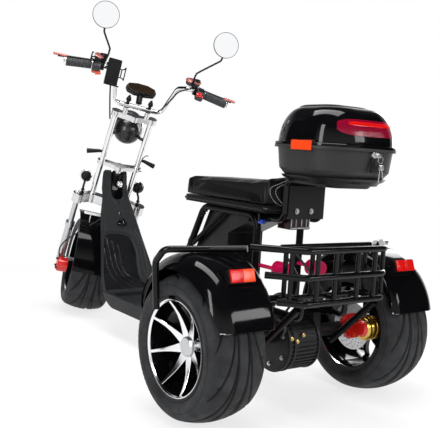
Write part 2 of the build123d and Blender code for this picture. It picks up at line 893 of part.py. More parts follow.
with BuildPart() as top_yoke:
    add_clamp(
        top_clamp,
        26,
        ((-tube_half, tube_forward, 46), (0, 4, 40), (tube_half, tube_forward, 46)),
    )
    for side in (-1, 1):
        add_rod(
            in_fork(side * riser_half, riser_forward, top_clamp + 12),
            in_fork(side * riser_half, riser_forward, bar_height - bar_tube / 2 - fit),
            24,
        )
keep("top_yoke", top_yoke.part)

# Bends of the bar, from the grips inwards: side, forward, up the axis
bar_run = (
    (188.0, -64.0, 550.0),
    (148.0, -14.0, 520.0),
    (112.0, riser_forward, bar_height),
)
grip_inner, grip_outer = 260.0, 371.0
bar_end = (380.0, -73.0, 524.0)


def on_bar(x):
    """Point on the straight outer run of the bar, for the right hand."""
    share = (x - bar_run[0][0]) / (bar_end[0] - bar_run[0][0])
    return tuple(a + (b - a) * share for a, b in zip(bar_run[0], bar_end))


with BuildPart() as handlebar:
    right = [in_fork(*point) for point in (bar_end, *bar_run)]
    left = [in_fork(-x, f, u) for x, f, u in (*reversed(bar_run), bar_end)]
    add_tube((*right, *left), 34, bar_tube)
keep("handlebar", handlebar.part)

with BuildPart() as grips:
    for side in (-1, 1):
        ends = [Vector(*on_bar(x)) for x in (grip_inner, grip_outer)]
        start, end = (in_fork(side * v.X, v.Y, v.Z) for v in ends)
        with BuildSketch(Plane(origin=start, z_dir=end - start)) as ring:
            Circle(17)
            Circle(bar_tube / 2 + fit, mode=Mode.SUBTRACT)
        extrude(ring.sketch, amount=(end - start).length)
keep("grips", grips.part)

with BuildPart() as bar_controls:
    for side in (-1, 1):
        for near, far, size in ((208, 222, 32), (227, 254, 44)):
            start = in_fork(side * on_bar(near)[0], *on_bar(near)[1:])
            end = in_fork(side * on_bar(far)[0], *on_bar(far)[1:])
            with BuildSketch(Plane(origin=start, z_dir=end - start, x_dir=FORK.z_dir)) as block:
                RectangleRounded(size, size - 4, 6)
                Circle(bar_tube / 2 + fit, mode=Mode.SUBTRACT)
            extrude(block.sketch, amount=(end - start).length)
        # Master cylinder and lever.
        x, forward, up = on_bar(214)
        add_rod(
            in_fork(side * x, forward + 10, up + 10), in_fork(side * x, forward + 31, up + 44), 20, 38
        )
        add_tube(
            (
                in_fork(side * x, forward + 20, up),
                in_fork(side * (x + 20), forward + 58, up - 4),
                in_fork(side * 406, -24, 527),
            ),
            16,
            11,
        )
keep("bar_controls", bar_controls.part)

mirror_radius = 60.0
# Side of the bar, then the middle of the glass: side, forward, up
mirror_places = ((-1, -258.0, -89.0, 778.0), (1, 276.0, -89.0, 795.0))
with BuildPart() as mirrors:
    for side, x, forward, up in mirror_places:
        foot = on_bar(215)
        add_tube(
            (
                in_fork(side * foot[0], foot[1] - 11, foot[2] + 17.4),
                in_fork(side * (foot[0] - 6), foot[1] - 19, 622),
                in_fork(x * 0.93, forward + 26, up - 66),
                in_fork(x, forward + 14, up - 20),
            ),
            14,
            9,
        )
        face = Plane(in_fork(x, forward, up), z_dir=(turn_sin, -turn_cos, 0))
        with BuildSketch(face) as disc:
            Circle(mirror_radius)
        extrude(disc.sketch, amount=-9)
keep("mirrors", mirrors.part)

with BuildPart() as display:
    add_rod(in_fork(0, 8, bar_height + 19), in_fork(0, 50, 429), 30)
    with BuildSketch(
        Plane(in_fork(0, 58, 428), x_dir=FORK.x_dir, z_dir=in_fork(0, -0.45, 0.9) - FORK.origin)
    ) as dial:
        Ellipse(72, 30)
    extrude(dial.sketch, amount=26)
keep("display", display.part)

phone_x, phone_forward, phone_up = -167.0, -92.0, 544.0
with BuildPart() as phone_holder:
    # Ring on the bar between its two bends, and the arm to the plate.
    near, far = (in_fork(-x, f, u) for x, f, u in (bar_run[1], bar_run[0]))
    ring_ends = [near + (far - near) * share for share in (0.4, 0.58)]
    with BuildSketch(Plane(ring_ends[0], z_dir=ring_ends[1] - ring_ends[0])) as ring:
        Circle(17)
        Circle(bar_tube / 2 + fit, mode=Mode.SUBTRACT)
    extrude(ring.sketch, amount=(ring_ends[1] - ring_ends[0]).length)
    add_rod(in_fork(-158, -51, 526.5), in_fork(-163, phone_forward - 4, phone_up - 14), 12)
    back_plane = Plane(
        in_fork(phone_x, phone_forward, phone_up),
        x_dir=FORK.x_dir,
        z_dir=in_fork(0, -0.94, 0.34) - FORK.origin,
    )
    with BuildSketch(back_plane) as plate:
        RectangleRounded(58, 112, 6)
    extrude(plate.sketch, amount=12)
keep("phone_holder", phone_holder.part)

bowl_forward, bowl_up, bowl_radius = 91.0, 212.0, 66.0
lamp_axis = Vector(-turn_sin, turn_cos, 0)
with BuildPart() as headlamp:
    centre = in_fork(0, bowl_forward, bowl_up)
    with Locations(centre):
        Sphere(bowl_radius)
    add_rod(centre, centre + lamp_axis * 46, 2 * bowl_radius, 164)
    add_rod(centre + lamp_axis * 45, centre + lamp_axis * 66, 164)
    for side in (-1, 1):
        add_rod(
            in_fork(side * (tube_half - fork_tube / 2 - fit), tube_forward, bowl_up),
            in_fork(side * 52, tube_forward, bowl_up),
            16,
        )
        add_rod(
            in_fork(side * 58, tube_forward, bowl_up),
            in_fork(side * 44, bowl_forward - 20, bowl_up),
            14,
        )
keep("headlamp", headlamp.part)

fog_foot = 139.0
with BuildPart() as fog_lamps:
    for side in (-1, 1):
        foot = lower_clamp + lower_clamp_thickness / 2 + fit
        add_rod(
            in_fork(side * fog_foot, leg_forward, foot),
            in_fork(side * fog_foot, leg_forward, foot + 37),
            12,
        )
        add_rod(
            in_fork(side * fog_foot, leg_forward, foot + 31),
            in_fork(side * 134, 59, foot + 45),
            12,
        )
        middle = in_fork(side * 132, 71, foot + 59)
        add_rod(middle - lamp_axis * 24, middle + lamp_axis * 28, 54, 62)
keep("fog_lamps", fog_lamps.part)

with BuildPart() as turn_signals:
    for side in (-1, 1):
        add_rod(
            in_fork(side * (tube_half + fork_tube / 2 + fit), tube_forward, 103),
            in_fork(side * 113, tube_forward, 103),
            14,
        )
        add_rod(in_fork(side * 110, tube_forward, 103), in_fork(side * 166, 31, 84), 16, 24)
keep("turn_signals", turn_signals.part)

with BuildPart() as fork_legs:
    for side in (-1, 1):
        add_rod(
            in_fork(side * leg_half, leg_forward, lower_clamp - lower_clamp_thickness / 2 - fit),
            in_fork(side * leg_half, leg_forward, collar_height),
            stanchion,
        )
        add_rod(
            in_fork(side * leg_half, leg_forward, collar_height),
            in_fork(side * leg_half, leg_forward, collar_height - 22),
            46,
        )
        add_rod(
            in_fork(side * leg_half, leg_forward, collar_height - 10),
            in_fork(side * leg_half, leg_forward, -front_drop - 22),
            slider,
        )
keep("fork_legs", fork_legs.part)

with BuildPart() as front_axle:
    add_rod(
        in_fork(-leg_half + slider / 2 + fit, front_offset, -front_drop),
        in_fork(leg_half - slider / 2 - fit, front_offset, -front_drop),
        2 * axle_radius,
    )
keep("front_axle", front_axle.part)

front_fender_radius = tyre_radius + wheel_gap + 10.5
front_fender_half = tyre_width / 2 + 8
front_fender_start, front_fender_sweep = 66.0, 92.0     # degrees, from forward over the top
with BuildPart() as front_fender:
    wheel_side = Plane(
        in_fork(-front_fender_half, front_offset, -front_drop),
        x_dir=FORK.y_dir,
        z_dir=FORK.x_dir,
    )
    with BuildSketch(wheel_side):
        with BuildLine():
            arc = (front_fender_start, front_fender_sweep)
            outer = CenterArc((0, 0), front_fender_radius + 4, *arc)
            inner = CenterArc((0, 0), front_fender_radius, *arc)
            Line(outer @ 0, inner @ 0)
            Line(outer @ 1, inner @ 1)
        make_face()
    extrude(amount=2 * front_fender_half)
keep("front_fender", front_fender.part)

caliper_back, caliper_up = front_offset - 76, 9 - front_drop
with BuildPart() as front_caliper:
    # Bracket against the back of the left slider, and the round body beside the tyre.
    add_rod(
        in_fork(-leg_half, leg_forward - slider / 2 - fit, caliper_up),
        in_fork(-leg_half, caliper_back, caliper_up),
        22,
    )
    add_rod(in_fork(-leg_half - 12, caliper_back, caliper_up), in_fork(-122, caliper_back, caliper_up), 72)
keep("front_caliper", front_caliper.part)
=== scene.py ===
# %% [markdown]
# # A motorized trike
# A three-wheeled electric scooter has a tube frame, a long fork with one steered wheel in front,
# two driven wheels under fenders behind, a bench seat and a box on a rack. The solid model already
# holds every piece at its real size. This lesson gives those pieces their finish, adds the small
# forms that a solid model leaves out, and stands the trike in a plain studio.
# A scene could also be modelled by eye, but then nothing would fit: reading the finished frame
# first means that each new piece can take its place from a joint or from a node's corners.

# %% Load the frame
import json
from math import acos, atan2, cos, hypot, pi, radians, sin, sqrt, tau

import bmesh
import bpy
import numpy as np
from mathutils import Matrix, Vector


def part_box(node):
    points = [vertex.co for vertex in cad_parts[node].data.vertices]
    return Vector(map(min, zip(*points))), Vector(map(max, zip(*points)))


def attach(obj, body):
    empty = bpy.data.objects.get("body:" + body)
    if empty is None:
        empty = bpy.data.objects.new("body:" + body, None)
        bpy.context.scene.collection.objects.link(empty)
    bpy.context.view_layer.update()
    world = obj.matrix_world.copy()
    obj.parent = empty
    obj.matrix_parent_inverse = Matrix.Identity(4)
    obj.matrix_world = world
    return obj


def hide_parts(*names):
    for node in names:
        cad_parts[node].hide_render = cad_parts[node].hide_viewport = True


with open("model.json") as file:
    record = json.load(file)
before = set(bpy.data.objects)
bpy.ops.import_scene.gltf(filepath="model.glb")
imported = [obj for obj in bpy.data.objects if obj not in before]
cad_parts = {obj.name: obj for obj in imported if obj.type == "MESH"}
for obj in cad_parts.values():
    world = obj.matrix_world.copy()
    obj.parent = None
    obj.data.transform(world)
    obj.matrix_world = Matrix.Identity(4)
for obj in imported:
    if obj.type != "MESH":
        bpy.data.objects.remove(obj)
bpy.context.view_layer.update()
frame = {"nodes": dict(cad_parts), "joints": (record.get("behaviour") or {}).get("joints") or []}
joints = {joint["name"]: joint for joint in frame["joints"]}
nodes = frame["nodes"]

# %% [markdown]
# ## Places
# Most pieces sit either behind the head of the frame, which never turns, or on the fork, which
# does. A point could be typed in room coordinates each time, but on a raked and turned fork those
# numbers say nothing. So the rear is placed by stations from the rear axle, and the fork has its
# own matrix, taken from its two joints: x across, y forward of the steering axis, z up along it.
# Long tables of points read better in millimetres, and one helper turns them into metres.

# %% Ways to give a place
axle_y = joints["left_wheel_spin"]["pos_m"][1]
axle_height = joints["left_wheel_spin"]["pos_m"][2]
half_track = joints["right_wheel_spin"]["pos_m"][0]


def mm(*points):
    """Points or sizes given in millimetres, as metres."""
    return [tuple(value / 1000 for value in point) for point in points]


def at(x, station, z):
    """Point from its side offset, its station forward of the rear axle and its height."""
    return Vector((x, axle_y + station, z))


def square_place(origin, x_axis, z_axis):
    """Matrix with that origin, its x and z axes given and its y axis square to them."""
    z_axis = Vector(z_axis).normalized()
    y_axis = z_axis.cross(Vector(x_axis)).normalized()
    x_axis = y_axis.cross(z_axis)
    turn = Matrix((x_axis, y_axis, z_axis)).transposed().to_4x4()
    return Matrix.Translation(Vector(origin)) @ turn


def shifted(place, x, y, z):
    """A place moved by that much in its own directions."""
    return place @ Matrix.Translation((x, y, z))


def on_place(place, *points):
    """Points given in a place's own directions."""
    return [place @ Vector(point) for point in points]


def linked(name, data):
    """New object for that data, linked to the scene."""
    made = bpy.data.objects.new(name, data)
    bpy.context.scene.collection.objects.link(made)
    return made


steering = joints["steering"]
fork_place = square_place(
    steering["pos_m"], joints["front_wheel_spin"]["axis"], steering["axis"]
)


def on_fork(x, forward, up):
    """Point given in the fork's own directions."""
    return fork_place @ Vector((x, forward, up))


print("rear axle at", axle_y, "fork leans", round(steering["axis"][1], 3))

# %% [markdown]
# ## The camera
# A camera has to stand where the eye stood, or no shape will line up, however good it is.
# It could be aimed with a Track To constraint, but that hides the small roll of a hand-held view.
# Here heading, dip and roll are three plain angles, multiplied in the order in which a head moves.

# %% Place the camera
camera_distance_behind = 1.879            # metres behind the rear axle
camera_offset, camera_height = -1.715, 0.863
heading, dip, roll = radians(-36.367), radians(5.002), radians(3.618)
sensor, focal = 36.0, 60.35               # millimetres

camera_data = bpy.data.cameras.new("camera")
camera_data.sensor_width = sensor
camera_data.lens = focal
camera_data.clip_start, camera_data.clip_end = 0.05, 60.0
camera = linked("camera", camera_data)
aim = Matrix.Rotation(heading, 4, "Z") @ Matrix.Rotation(pi / 2 - dip, 4, "X")
camera.matrix_world = (
    Matrix.Translation(at(camera_offset, -camera_distance_behind, camera_height))
    @ aim
    @ Matrix.Rotation(roll, 4, "Z")
)
bpy.context.scene.camera = camera
bpy.context.scene.view_settings.view_transform = "Standard"
print("camera at", [round(c, 3) for c in camera.location])

# %% [markdown]
# ## Studio
# Glossy black shows only what it reflects, so the room matters more than the paint.
# A white room lit by its own walls would turn the paint grey. So the walls are white to the eye and
# to reflections low down, darker overhead, and four soft lamps draw the long highlights. Two dark
# flags, which only reflections see, give the bright tubes their dark edges.

# %% Floor and world
floor_half = 14.0
floor_mesh = bpy.data.meshes.new("floor")
floor_mesh.from_pydata(
    [(x * floor_half, y * floor_half, 0) for x, y in ((-1, -1), (1, -1), (1, 1), (-1, 1))],
    [],
    [(0, 1, 2, 3)],
)
linked("floor", floor_mesh)


def joined(tree, source, target):
    """Link two sockets of a node tree."""
    tree.links.new(source, target)


def new_nodes(tree, family, *kinds):
    """Nodes of one family, such as ShaderNode, in the order asked for."""
    return [tree.nodes.new(family + kind) for kind in kinds]


def wired(tree, *links):
    """Link nodes, each link given as node, its output, next node, its input."""
    for source, output, target, into in links:
        tree.links.new(source.outputs[output], target.inputs[into])


def world_sky():
    """White around the horizon, dark overhead and on two flags, dim for the light that falls."""
    world = bpy.data.worlds.new("studio")
    bpy.context.scene.world = world
    world.use_nodes = True
    tree = world.node_tree
    tree.nodes.clear()
    output, mix, seen, falling, rays, where, split, ramp, any_seen, any_through = new_nodes(
        tree, "ShaderNode", "OutputWorld", "MixShader", "Background", "Background", "LightPath",
        "TexCoord", "SeparateXYZ", "ValToRGB", "Math", "Math",
    )
    falling.inputs["Color"].default_value = (1, 1, 1, 1)
    falling.inputs["Strength"].default_value = 0.42
    seen.inputs["Strength"].default_value = 1.0
    stops = ramp.color_ramp
    stops.elements[0].position, stops.elements[0].color = 0.26, (1, 1, 1, 1)
    stops.elements[1].position, stops.elements[1].color = 0.62, (0.05, 0.05, 0.055, 1)
    # Two black flags at the sides draw the dark edges of chrome tubes; only reflections see them.
    around, flags, shade, turn = new_nodes(
        tree, "ShaderNode", "Math", "ValToRGB", "Mix", "MapRange"
    )
    around.operation = "ARCTAN2"
    turn.inputs["From Min"].default_value, turn.inputs["From Max"].default_value = -pi, pi
    bands = flags.color_ramp
    bands.elements[0].position, bands.elements[0].color = 0.0, (1, 1, 1, 1)
    bands.elements[1].position, bands.elements[1].color = 1.0, (1, 1, 1, 1)
    for middle, half, soft in ((-57.6, 35, 8), (122.4, 35, 8)):
        for angle, value in ((-half, 1.0), (soft - half, 0.02), (half - soft, 0.02), (half, 1.0)):
            stop = bands.elements.new((middle + angle + 180) / 360)
            stop.color = (value, value, value, 1)
    shade.data_type, shade.blend_type = "RGBA", "MULTIPLY"
    any_seen.operation = any_through.operation = "MAXIMUM"
    wired(
        tree, (split, "X", around, 0), (split, "Y", around, 1), (around, 0, turn, "Value"),
        (turn, "Result", flags, "Fac"), (rays, "Is Glossy Ray", shade, "Factor"),
        (where, "Generated", split, 0), (split, "Z", ramp, 0), (ramp, "Color", shade, "A"),
        (flags, "Color", shade, "B"), (shade, "Result", seen, "Color"),
        (rays, "Is Camera Ray", any_seen, 0), (rays, "Is Glossy Ray", any_seen, 1),
        (any_seen, 0, any_through, 0), (rays, "Is Transmission Ray", any_through, 1),
        (any_through, 0, mix, "Fac"), (falling, 0, mix, 1), (seen, 0, mix, 2),
        (mix, 0, output, "Surface"),
    )


world_sky()


def floor_paint():
    """Matt floor under the lamps, plus a glow that only the eye and mirrors see."""
    material = bpy.data.materials.new("studio_floor")
    material.use_nodes = True
    tree = material.node_tree
    tree.nodes.clear()
    output, add, paint, glow, rays, seen, share, where, away, spread = new_nodes(
        tree, "ShaderNode", "OutputMaterial", "MixShader", "BsdfDiffuse", "Emission", "LightPath",
        "Math", "Math", "TexCoord", "VectorMath", "MapRange",
    )
    paint.inputs["Color"].default_value = (0.92, 0.92, 0.92, 1)
    glow.inputs["Color"].default_value = (1, 1, 1, 1)
    glow.inputs["Strength"].default_value = 1.0
    seen.operation = "MAXIMUM"
    share.operation, away.operation = "MULTIPLY", "LENGTH"
    # Near the trike some of the lit floor shows, with its shadow; further off only the glow.
    for socket, value in zip(("From Min", "From Max", "To Min", "To Max"), (1.0, 2.6, 0.74, 1.0)):
        spread.inputs[socket].default_value = value
    wired(
        tree, (where, "Object", away, 0), (away, "Value", spread, "Value"),
        (spread, "Result", share, 1),
        (rays, "Is Camera Ray", seen, 0), (rays, "Is Glossy Ray", seen, 1), (seen, 0, share, 0),
        (share, 0, add, "Fac"), (paint, 0, add, 1), (glow, 0, add, 2), (add, 0, output, "Surface"),
    )
    return material


floor_mesh.materials.append(floor_paint())

# %% Lamps
lamps = (
    # name, place, aimed at, width, depth, watts
    ("top softbox", (-0.3, -0.3, 3.4), (0, -0.2, 0.4), 2.6, 1.1, 95),
    ("left strip", (-3.0, -1.6, 1.9), (0, -0.5, 0.5), 0.5, 2.4, 60),
    ("rear strip", (1.5, -3.6, 1.8), (0.1, -0.6, 0.5), 1.6, 0.7, 42),
    ("right fill", (3.2, 0.6, 1.7), (0, 0, 0.6), 1.0, 1.8, 40),
)
for name, place, target, width, depth, watts in lamps:
    lamp_data = bpy.data.lights.new(name, "AREA")
    lamp_data.shape = "RECTANGLE"
    lamp_data.size, lamp_data.size_y = width, depth
    lamp_data.energy = watts
    lamp = linked(name, lamp_data)
    lamp.location = place
    lamp.rotation_euler = (Vector(target) - Vector(place)).to_track_quat("-Z", "Y").to_euler()
print("lamps", len(lamps))
# %% [markdown]
# ## Finishes
# A real surface is never one flat value: paint has a faint orange peel, plastic a moulded grain,
# chrome a film of fingerprints, rubber a dusty bloom. Painted image maps could hold this, but they
# need unwrapping and they pixelate. Noise read from Object coordinates needs neither, and its scale
# is in real metres, so every piece of one finish matches its neighbour.

# %% Node helpers
def paint(name, **sockets):
    """A material with its Principled shader's sockets set, and that shader."""
    material = bpy.data.materials.new(name)
    material.use_nodes = True
    shader = material.node_tree.nodes["Principled BSDF"]
    for socket, value in sockets.items():
        shader.inputs[socket.replace("_", " ")].default_value = value
    return material, shader


def grain(material, scale, detail, kind="noise"):
    """A noise or cell pattern of that scale per metre; gives its value socket."""
    tree = material.node_tree
    where = tree.nodes.new("ShaderNodeTexCoord")
    if kind == "cells":
        texture = tree.nodes.new("ShaderNodeTexVoronoi")
        texture.feature = "DISTANCE_TO_EDGE"
        value = texture.outputs["Distance"]
    else:
        texture = tree.nodes.new("ShaderNodeTexNoise")
        texture.inputs["Detail"].default_value = detail
        value = texture.outputs["Fac"]
    texture.inputs["Scale"].default_value = scale
    wired(tree, (where, "Object", texture, "Vector"))
    return value


def between(material, value, low, high):
    """The pattern spread from one number to another; gives its value socket."""
    node = material.node_tree.nodes.new("ShaderNodeMapRange")
    node.inputs["From Min"].default_value, node.inputs["From Max"].default_value = 0.3, 0.7
    node.inputs["To Min"].default_value, node.inputs["To Max"].default_value = low, high
    joined(material.node_tree, value, node.inputs["Value"])
    return node.outputs["Result"]


def tinted(material, value, dark, light):
    """The pattern spread from one colour to another; gives its colour socket."""
    node = material.node_tree.nodes.new("ShaderNodeValToRGB")
    first, last = node.color_ramp.elements
    first.position, first.color = 0.35, (*dark, 1)
    last.position, last.color = 0.65, (*light, 1)
    joined(material.node_tree, value, node.inputs["Fac"])
    return node.outputs["Color"]


def raised(material, value, height, strength=0.5, under=None):
    """Bump of that height in metres, stacked on another bump if one is given."""
    node = material.node_tree.nodes.new("ShaderNodeBump")
    node.inputs["Strength"].default_value = strength
    node.inputs["Distance"].default_value = height
    joined(material.node_tree, value, node.inputs["Height"])
    if under is not None:
        joined(material.node_tree, under, node.inputs["Normal"])
    return node.outputs["Normal"]


def finish(name, colour, rough, metal=0.0, peel=None, tint=None, shine=None, **sockets):
    """A finish with its own spread of roughness, a tint pattern and a fine relief."""
    if shine is not None:
        sockets["Specular_IOR_Level"] = shine
    material, shader = paint(
        name, Base_Color=(*colour, 1), Metallic=metal, Roughness=sum(rough) / 2, **sockets
    )
    tree = material.node_tree
    smear = grain(material, 9.0, 5.0)
    joined(tree, between(material, smear, *rough), shader.inputs["Roughness"])
    if tint:
        joined(tree, tinted(material, grain(material, tint[0], 6.0), colour, tint[1]),
               shader.inputs["Base Color"])
    if peel:
        scale, height, kind = peel
        joined(tree, raised(material, grain(material, scale, 2.0, kind), height),
               shader.inputs["Normal"])
    return material


# %% [markdown]
# Each finish below is one call with its own numbers: colour, lowest and highest roughness, and the
# scale and height of its relief. The darkest ones keep a little blue, as carbon black does.

# %% The trike's finishes
gloss_black = finish(
    "gloss_black", (0.0025, 0.0025, 0.003), (0.04, 0.1), peel=(260, 0.00002, "noise"), shine=0.16
)
tube_black = finish(
    "tube_black", (0.003, 0.003, 0.0035), (0.12, 0.22), peel=(420, 0.00004, "noise"), shine=0.24
)
frame_black = finish(
    "frame_black", (0.0025, 0.0025, 0.003), (0.22, 0.34), peel=(500, 0.00005, "noise"), shine=0.09
)
grained_plastic = finish(
    "grained_plastic", (0.016, 0.017, 0.0185), (0.36, 0.5), peel=(900, 0.00008, "cells"), shine=0.18
)
bin_plastic = finish(
    "bin_plastic", (0.022, 0.022, 0.023), (0.4, 0.55), peel=(1100, 0.00007, "cells"), shine=0.25
)
smooth_plastic = finish(
    "smooth_plastic", (0.005, 0.005, 0.0055), (0.22, 0.36), peel=(700, 0.00003, "noise"), shine=0.2
)
grip_rubber = finish(
    "grip_rubber", (0.045, 0.046, 0.05), (0.55, 0.75), peel=(1500, 0.00008, "noise"), shine=0.3
)
chrome = finish("chrome", (0.86, 0.87, 0.88), (0.03, 0.1), metal=1.0)
polished = finish(
    "polished_alloy", (0.74, 0.74, 0.75), (0.16, 0.3), metal=1.0, peel=(700, 0.00003, "noise")
)
satin_silver = finish(
    "satin_silver", (0.62, 0.63, 0.65), (0.24, 0.38), metal=1.0, peel=(900, 0.00004, "noise")
)
cut_silver = finish("cut_silver", (0.88, 0.88, 0.9), (0.1, 0.2), metal=1.0)
cast_black = finish(
    "cast_black", (0.006, 0.006, 0.0065), (0.34, 0.56), peel=(600, 0.00025, "noise"),
    tint=(14, (0.018, 0.018, 0.019)), shine=0.25
)
steel = finish("steel", (0.5, 0.5, 0.51), (0.22, 0.4), metal=1.0, peel=(500, 0.00004, "noise"))
brass = finish("brass", (0.72, 0.5, 0.18), (0.2, 0.34), metal=1.0)
gold_anodised = finish("gold_anodised", (0.62, 0.42, 0.1), (0.16, 0.3), metal=1.0)
red_paint = finish(
    "red_paint", (0.62, 0.012, 0.01), (0.16, 0.3), peel=(400, 0.00004, "noise"), Coat_Weight=0.4
)
red_anodised = finish("red_anodised", (0.52, 0.17, 0.15), (0.24, 0.36), metal=0.6)
orange_button = finish("orange_button", (0.72, 0.09, 0.03), (0.25, 0.4))
mirror_glass = finish("mirror_glass", (0.93, 0.94, 0.95), (0.01, 0.03), metal=1.0)
dark_glass = finish("dark_glass", (0.02, 0.012, 0.008), (0.04, 0.1), Coat_Weight=1.0)
clear_glass = finish(
    "clear_glass", (0.95, 0.96, 0.97), (0.02, 0.05), Transmission_Weight=0.9, IOR=1.45
)
well_plastic = finish(
    "well_plastic", (0.006, 0.0062, 0.007), (0.2, 0.34), peel=(900, 0.00005, "cells"), shine=0.22
)
connector_blue = finish("connector_blue", (0.01, 0.05, 0.42), (0.35, 0.5))
headlamp_black = finish("headlamp_black", (0.01, 0.01, 0.0105), (0.22, 0.3), shine=0.45)
cable_black = finish("cable_black", (0.012, 0.012, 0.012), (0.4, 0.6))
blank_plate = finish("blank_plate", (0.8, 0.8, 0.78), (0.3, 0.45))


def lens(name, colour):
    """Moulded lens: clear coloured plastic whose back is ribbed, so it glows from inside."""
    material, shader = paint(
        name, Base_Color=(*colour, 1), Roughness=0.16, Specular_IOR_Level=0.25,
        Subsurface_Weight=0.2, Subsurface_Scale=0.01,
    )
    tree = material.node_tree
    ribs, where = new_nodes(tree, "ShaderNode", "TexWave", "TexCoord")
    ribs.inputs["Scale"].default_value = 55.0
    wired(tree, (where, "Object", ribs, "Vector"))
    joined(tree, raised(material, ribs.outputs["Fac"], 0.0004, 0.35), shader.inputs["Normal"])
    return material


red_lens = lens("red_lens", (0.6, 0.005, 0.004))
orange_lens = lens("orange_lens", (0.82, 0.058, 0.01))
deep_red_lens = lens("deep_red_lens", (0.2, 0.0015, 0.02))
pink_lens = lens("pink_lens", (0.6, 0.004, 0.085))
smoked_lens = lens("smoked_lens", (0.02, 0.004, 0.004))


def leather(name):
    """Black vinyl: pebbled grain over soft creases."""
    material, shader = paint(name, Base_Color=(0.003, 0.003, 0.0035, 1), Roughness=0.34,
                             Specular_IOR_Level=0.12)
    tree = material.node_tree
    joined(tree, between(material, grain(material, 12, 4), 0.27, 0.42), shader.inputs["Roughness"])
    crease = raised(material, grain(material, 26, 3), 0.0016, 0.3)
    pebble = raised(material, grain(material, 620, 1, "cells"), 0.00016, 0.5, crease)
    joined(tree, pebble, shader.inputs["Normal"])
    return material


vinyl = leather("vinyl")
thread_white = finish("thread_white", (0.62, 0.62, 0.6), (0.6, 0.8))


def tyre_finish(name):
    """Rubber with painted shade in its grooves, told by an attribute of the mesh, darker than the
    blocks.
    """
    material, shader = paint(name, Base_Color=(0.02, 0.021, 0.023, 1), Roughness=0.62,
                             Specular_IOR_Level=0.22)
    tree = material.node_tree
    depth, mix = new_nodes(tree, "ShaderNode", "Attribute", "Mix")
    depth.attribute_name = "groove"
    mix.data_type = "RGBA"
    # Painted shade: the near-black colour that the groove attribute mixes into the rubber.
    mix.inputs["B"].default_value = (0.004, 0.004, 0.004, 1)
    dust = tinted(material, grain(material, 18, 8), (0.015, 0.0155, 0.017), (0.03, 0.031, 0.034))
    joined(tree, dust, mix.inputs["A"])
    wired(tree, (depth, "Fac", mix, "Factor"), (mix, "Result", shader, "Base Color"))
    joined(tree, between(material, grain(material, 30, 4), 0.5, 0.74), shader.inputs["Roughness"])
    joined(tree, raised(material, grain(material, 1300, 2), 0.0001, 0.4), shader.inputs["Normal"])
    return material


tyre_rubber = tyre_finish("tyre_rubber")
print("finishes", len(bpy.data.materials))
# %% [markdown]
# ## Dressing the solid pieces
# The solid model arrives as loose triangles, and loose triangles shade as facets. Its shapes are
# right, so they stay; only their shading and edges need help. A modifier can do that without
# touching the mesh: a small node tree welds the triangles and keeps creases sharp above an angle.
# A Bevel after it rounds the edges by a hair, which is what catches a highlight on real metal.

# %% A node tree that welds and shades
def geometry_tree(name, *inputs):
    """Tree that takes and gives geometry, its further inputs given as name, kind and default."""
    tree = bpy.data.node_groups.new(name, "GeometryNodeTree")
    for title, kind, default in (("Geometry", "Geometry", None), *inputs):
        socket = tree.interface.new_socket(title, in_out="INPUT", socket_type="NodeSocket" + kind)
        if default is not None:
            socket.default_value = default
    tree.interface.new_socket("Geometry", in_out="OUTPUT", socket_type="NodeSocketGeometry")
    return tree, *new_nodes(tree, "NodeGroup", "Input", "Output")


def soft_edges_tree():
    """Weld, then shade smooth where two faces meet at less than an angle."""
    tree, start, end = geometry_tree("soft_edges", ("Crease angle", "Float", radians(32)))
    weld, edge, smooth, faces = new_nodes(
        tree, "GeometryNode", "MergeByDistance", "InputMeshEdgeAngle", "SetShadeSmooth",
        "SetShadeSmooth",
    )
    under = tree.nodes.new("FunctionNodeCompare")
    weld.inputs["Distance"].default_value = 0.00001
    under.operation = "LESS_THAN"
    smooth.domain, faces.domain = "EDGE", "FACE"
    wired(
        tree, (start, "Geometry", weld, "Geometry"), (weld, "Geometry", faces, "Geometry"),
        (faces, "Geometry", smooth, "Geometry"), (edge, "Unsigned Angle", under, "A"),
        (start, "Crease angle", under, "B"), (under, "Result", smooth, "Shade Smooth"),
        (smooth, "Geometry", end, "Geometry"),
    )
    return tree


soft_edges = soft_edges_tree()


def dress(material, *names, bevel=0.0):
    """Give solid nodes their finish, smooth shading and, if asked, a fine bevel."""
    for name in names:
        node = nodes[name]
        node.data.materials.clear()
        node.data.materials.append(material)
        if "custom_normal" in node.data.attributes:
            node.data.attributes.remove(node.data.attributes["custom_normal"])
        shading = node.modifiers.new("soft edges", "NODES")
        shading.node_group = soft_edges
        if bevel:
            rounding = node.modifiers.new("edge", "BEVEL")
            rounding.width, rounding.segments, rounding.limit_method = bevel, 2, "ANGLE"
            rounding.angle_limit = radians(40)
            rounding.harden_normals = False


dress(frame_black, "main_frame", "seat_frame", "rear_links", "seat_base")
dress(tube_black, "box_rack", "guard_bars", "rear_basket")
dress(grained_plastic, "leg_shield", "floor_deck", bevel=0.0012)
dress(bin_plastic, "box_bin")
dress(smooth_plastic, "battery_box", "bar_controls", "display", "phone_holder", "turn_signals",
      bevel=0.001)
dress(gloss_black, "left_fender", "right_fender", "front_fender", "box_lid")
dress(smoked_lens, "tail_lamp", bevel=0.001)
dress(cast_black, "axle_housing", "drive_motor", bevel=0.0012)
dress(chrome, "fork_tubes", "handlebar")
dress(pink_lens, "marker_lamps", bevel=0.004)
dress(polished, "steering_stem", "top_yoke", bevel=0.0015)
dress(satin_silver, "fork_legs", "front_axle")
dress(gloss_black, "headlamp", "left_rim", "right_rim", "front_rim")
dress(mirror_glass, "mirrors")
dress(grip_rubber, "grips")
dress(red_paint, "front_caliper", bevel=0.001)
dress(vinyl, "seat_cushion")
dress(tyre_rubber, "left_tyre", "right_tyre", "front_tyre")
print("dressed", len(nodes), "nodes")

# %% [markdown]
# ## Tools for new pieces
# A turned part is a profile spun about its axle, a tube is a circle led along a line, and both come
# up so often that each gets one function. They build the mesh at its final place with its object at
# the origin, so patterns on Object coordinates stay put.

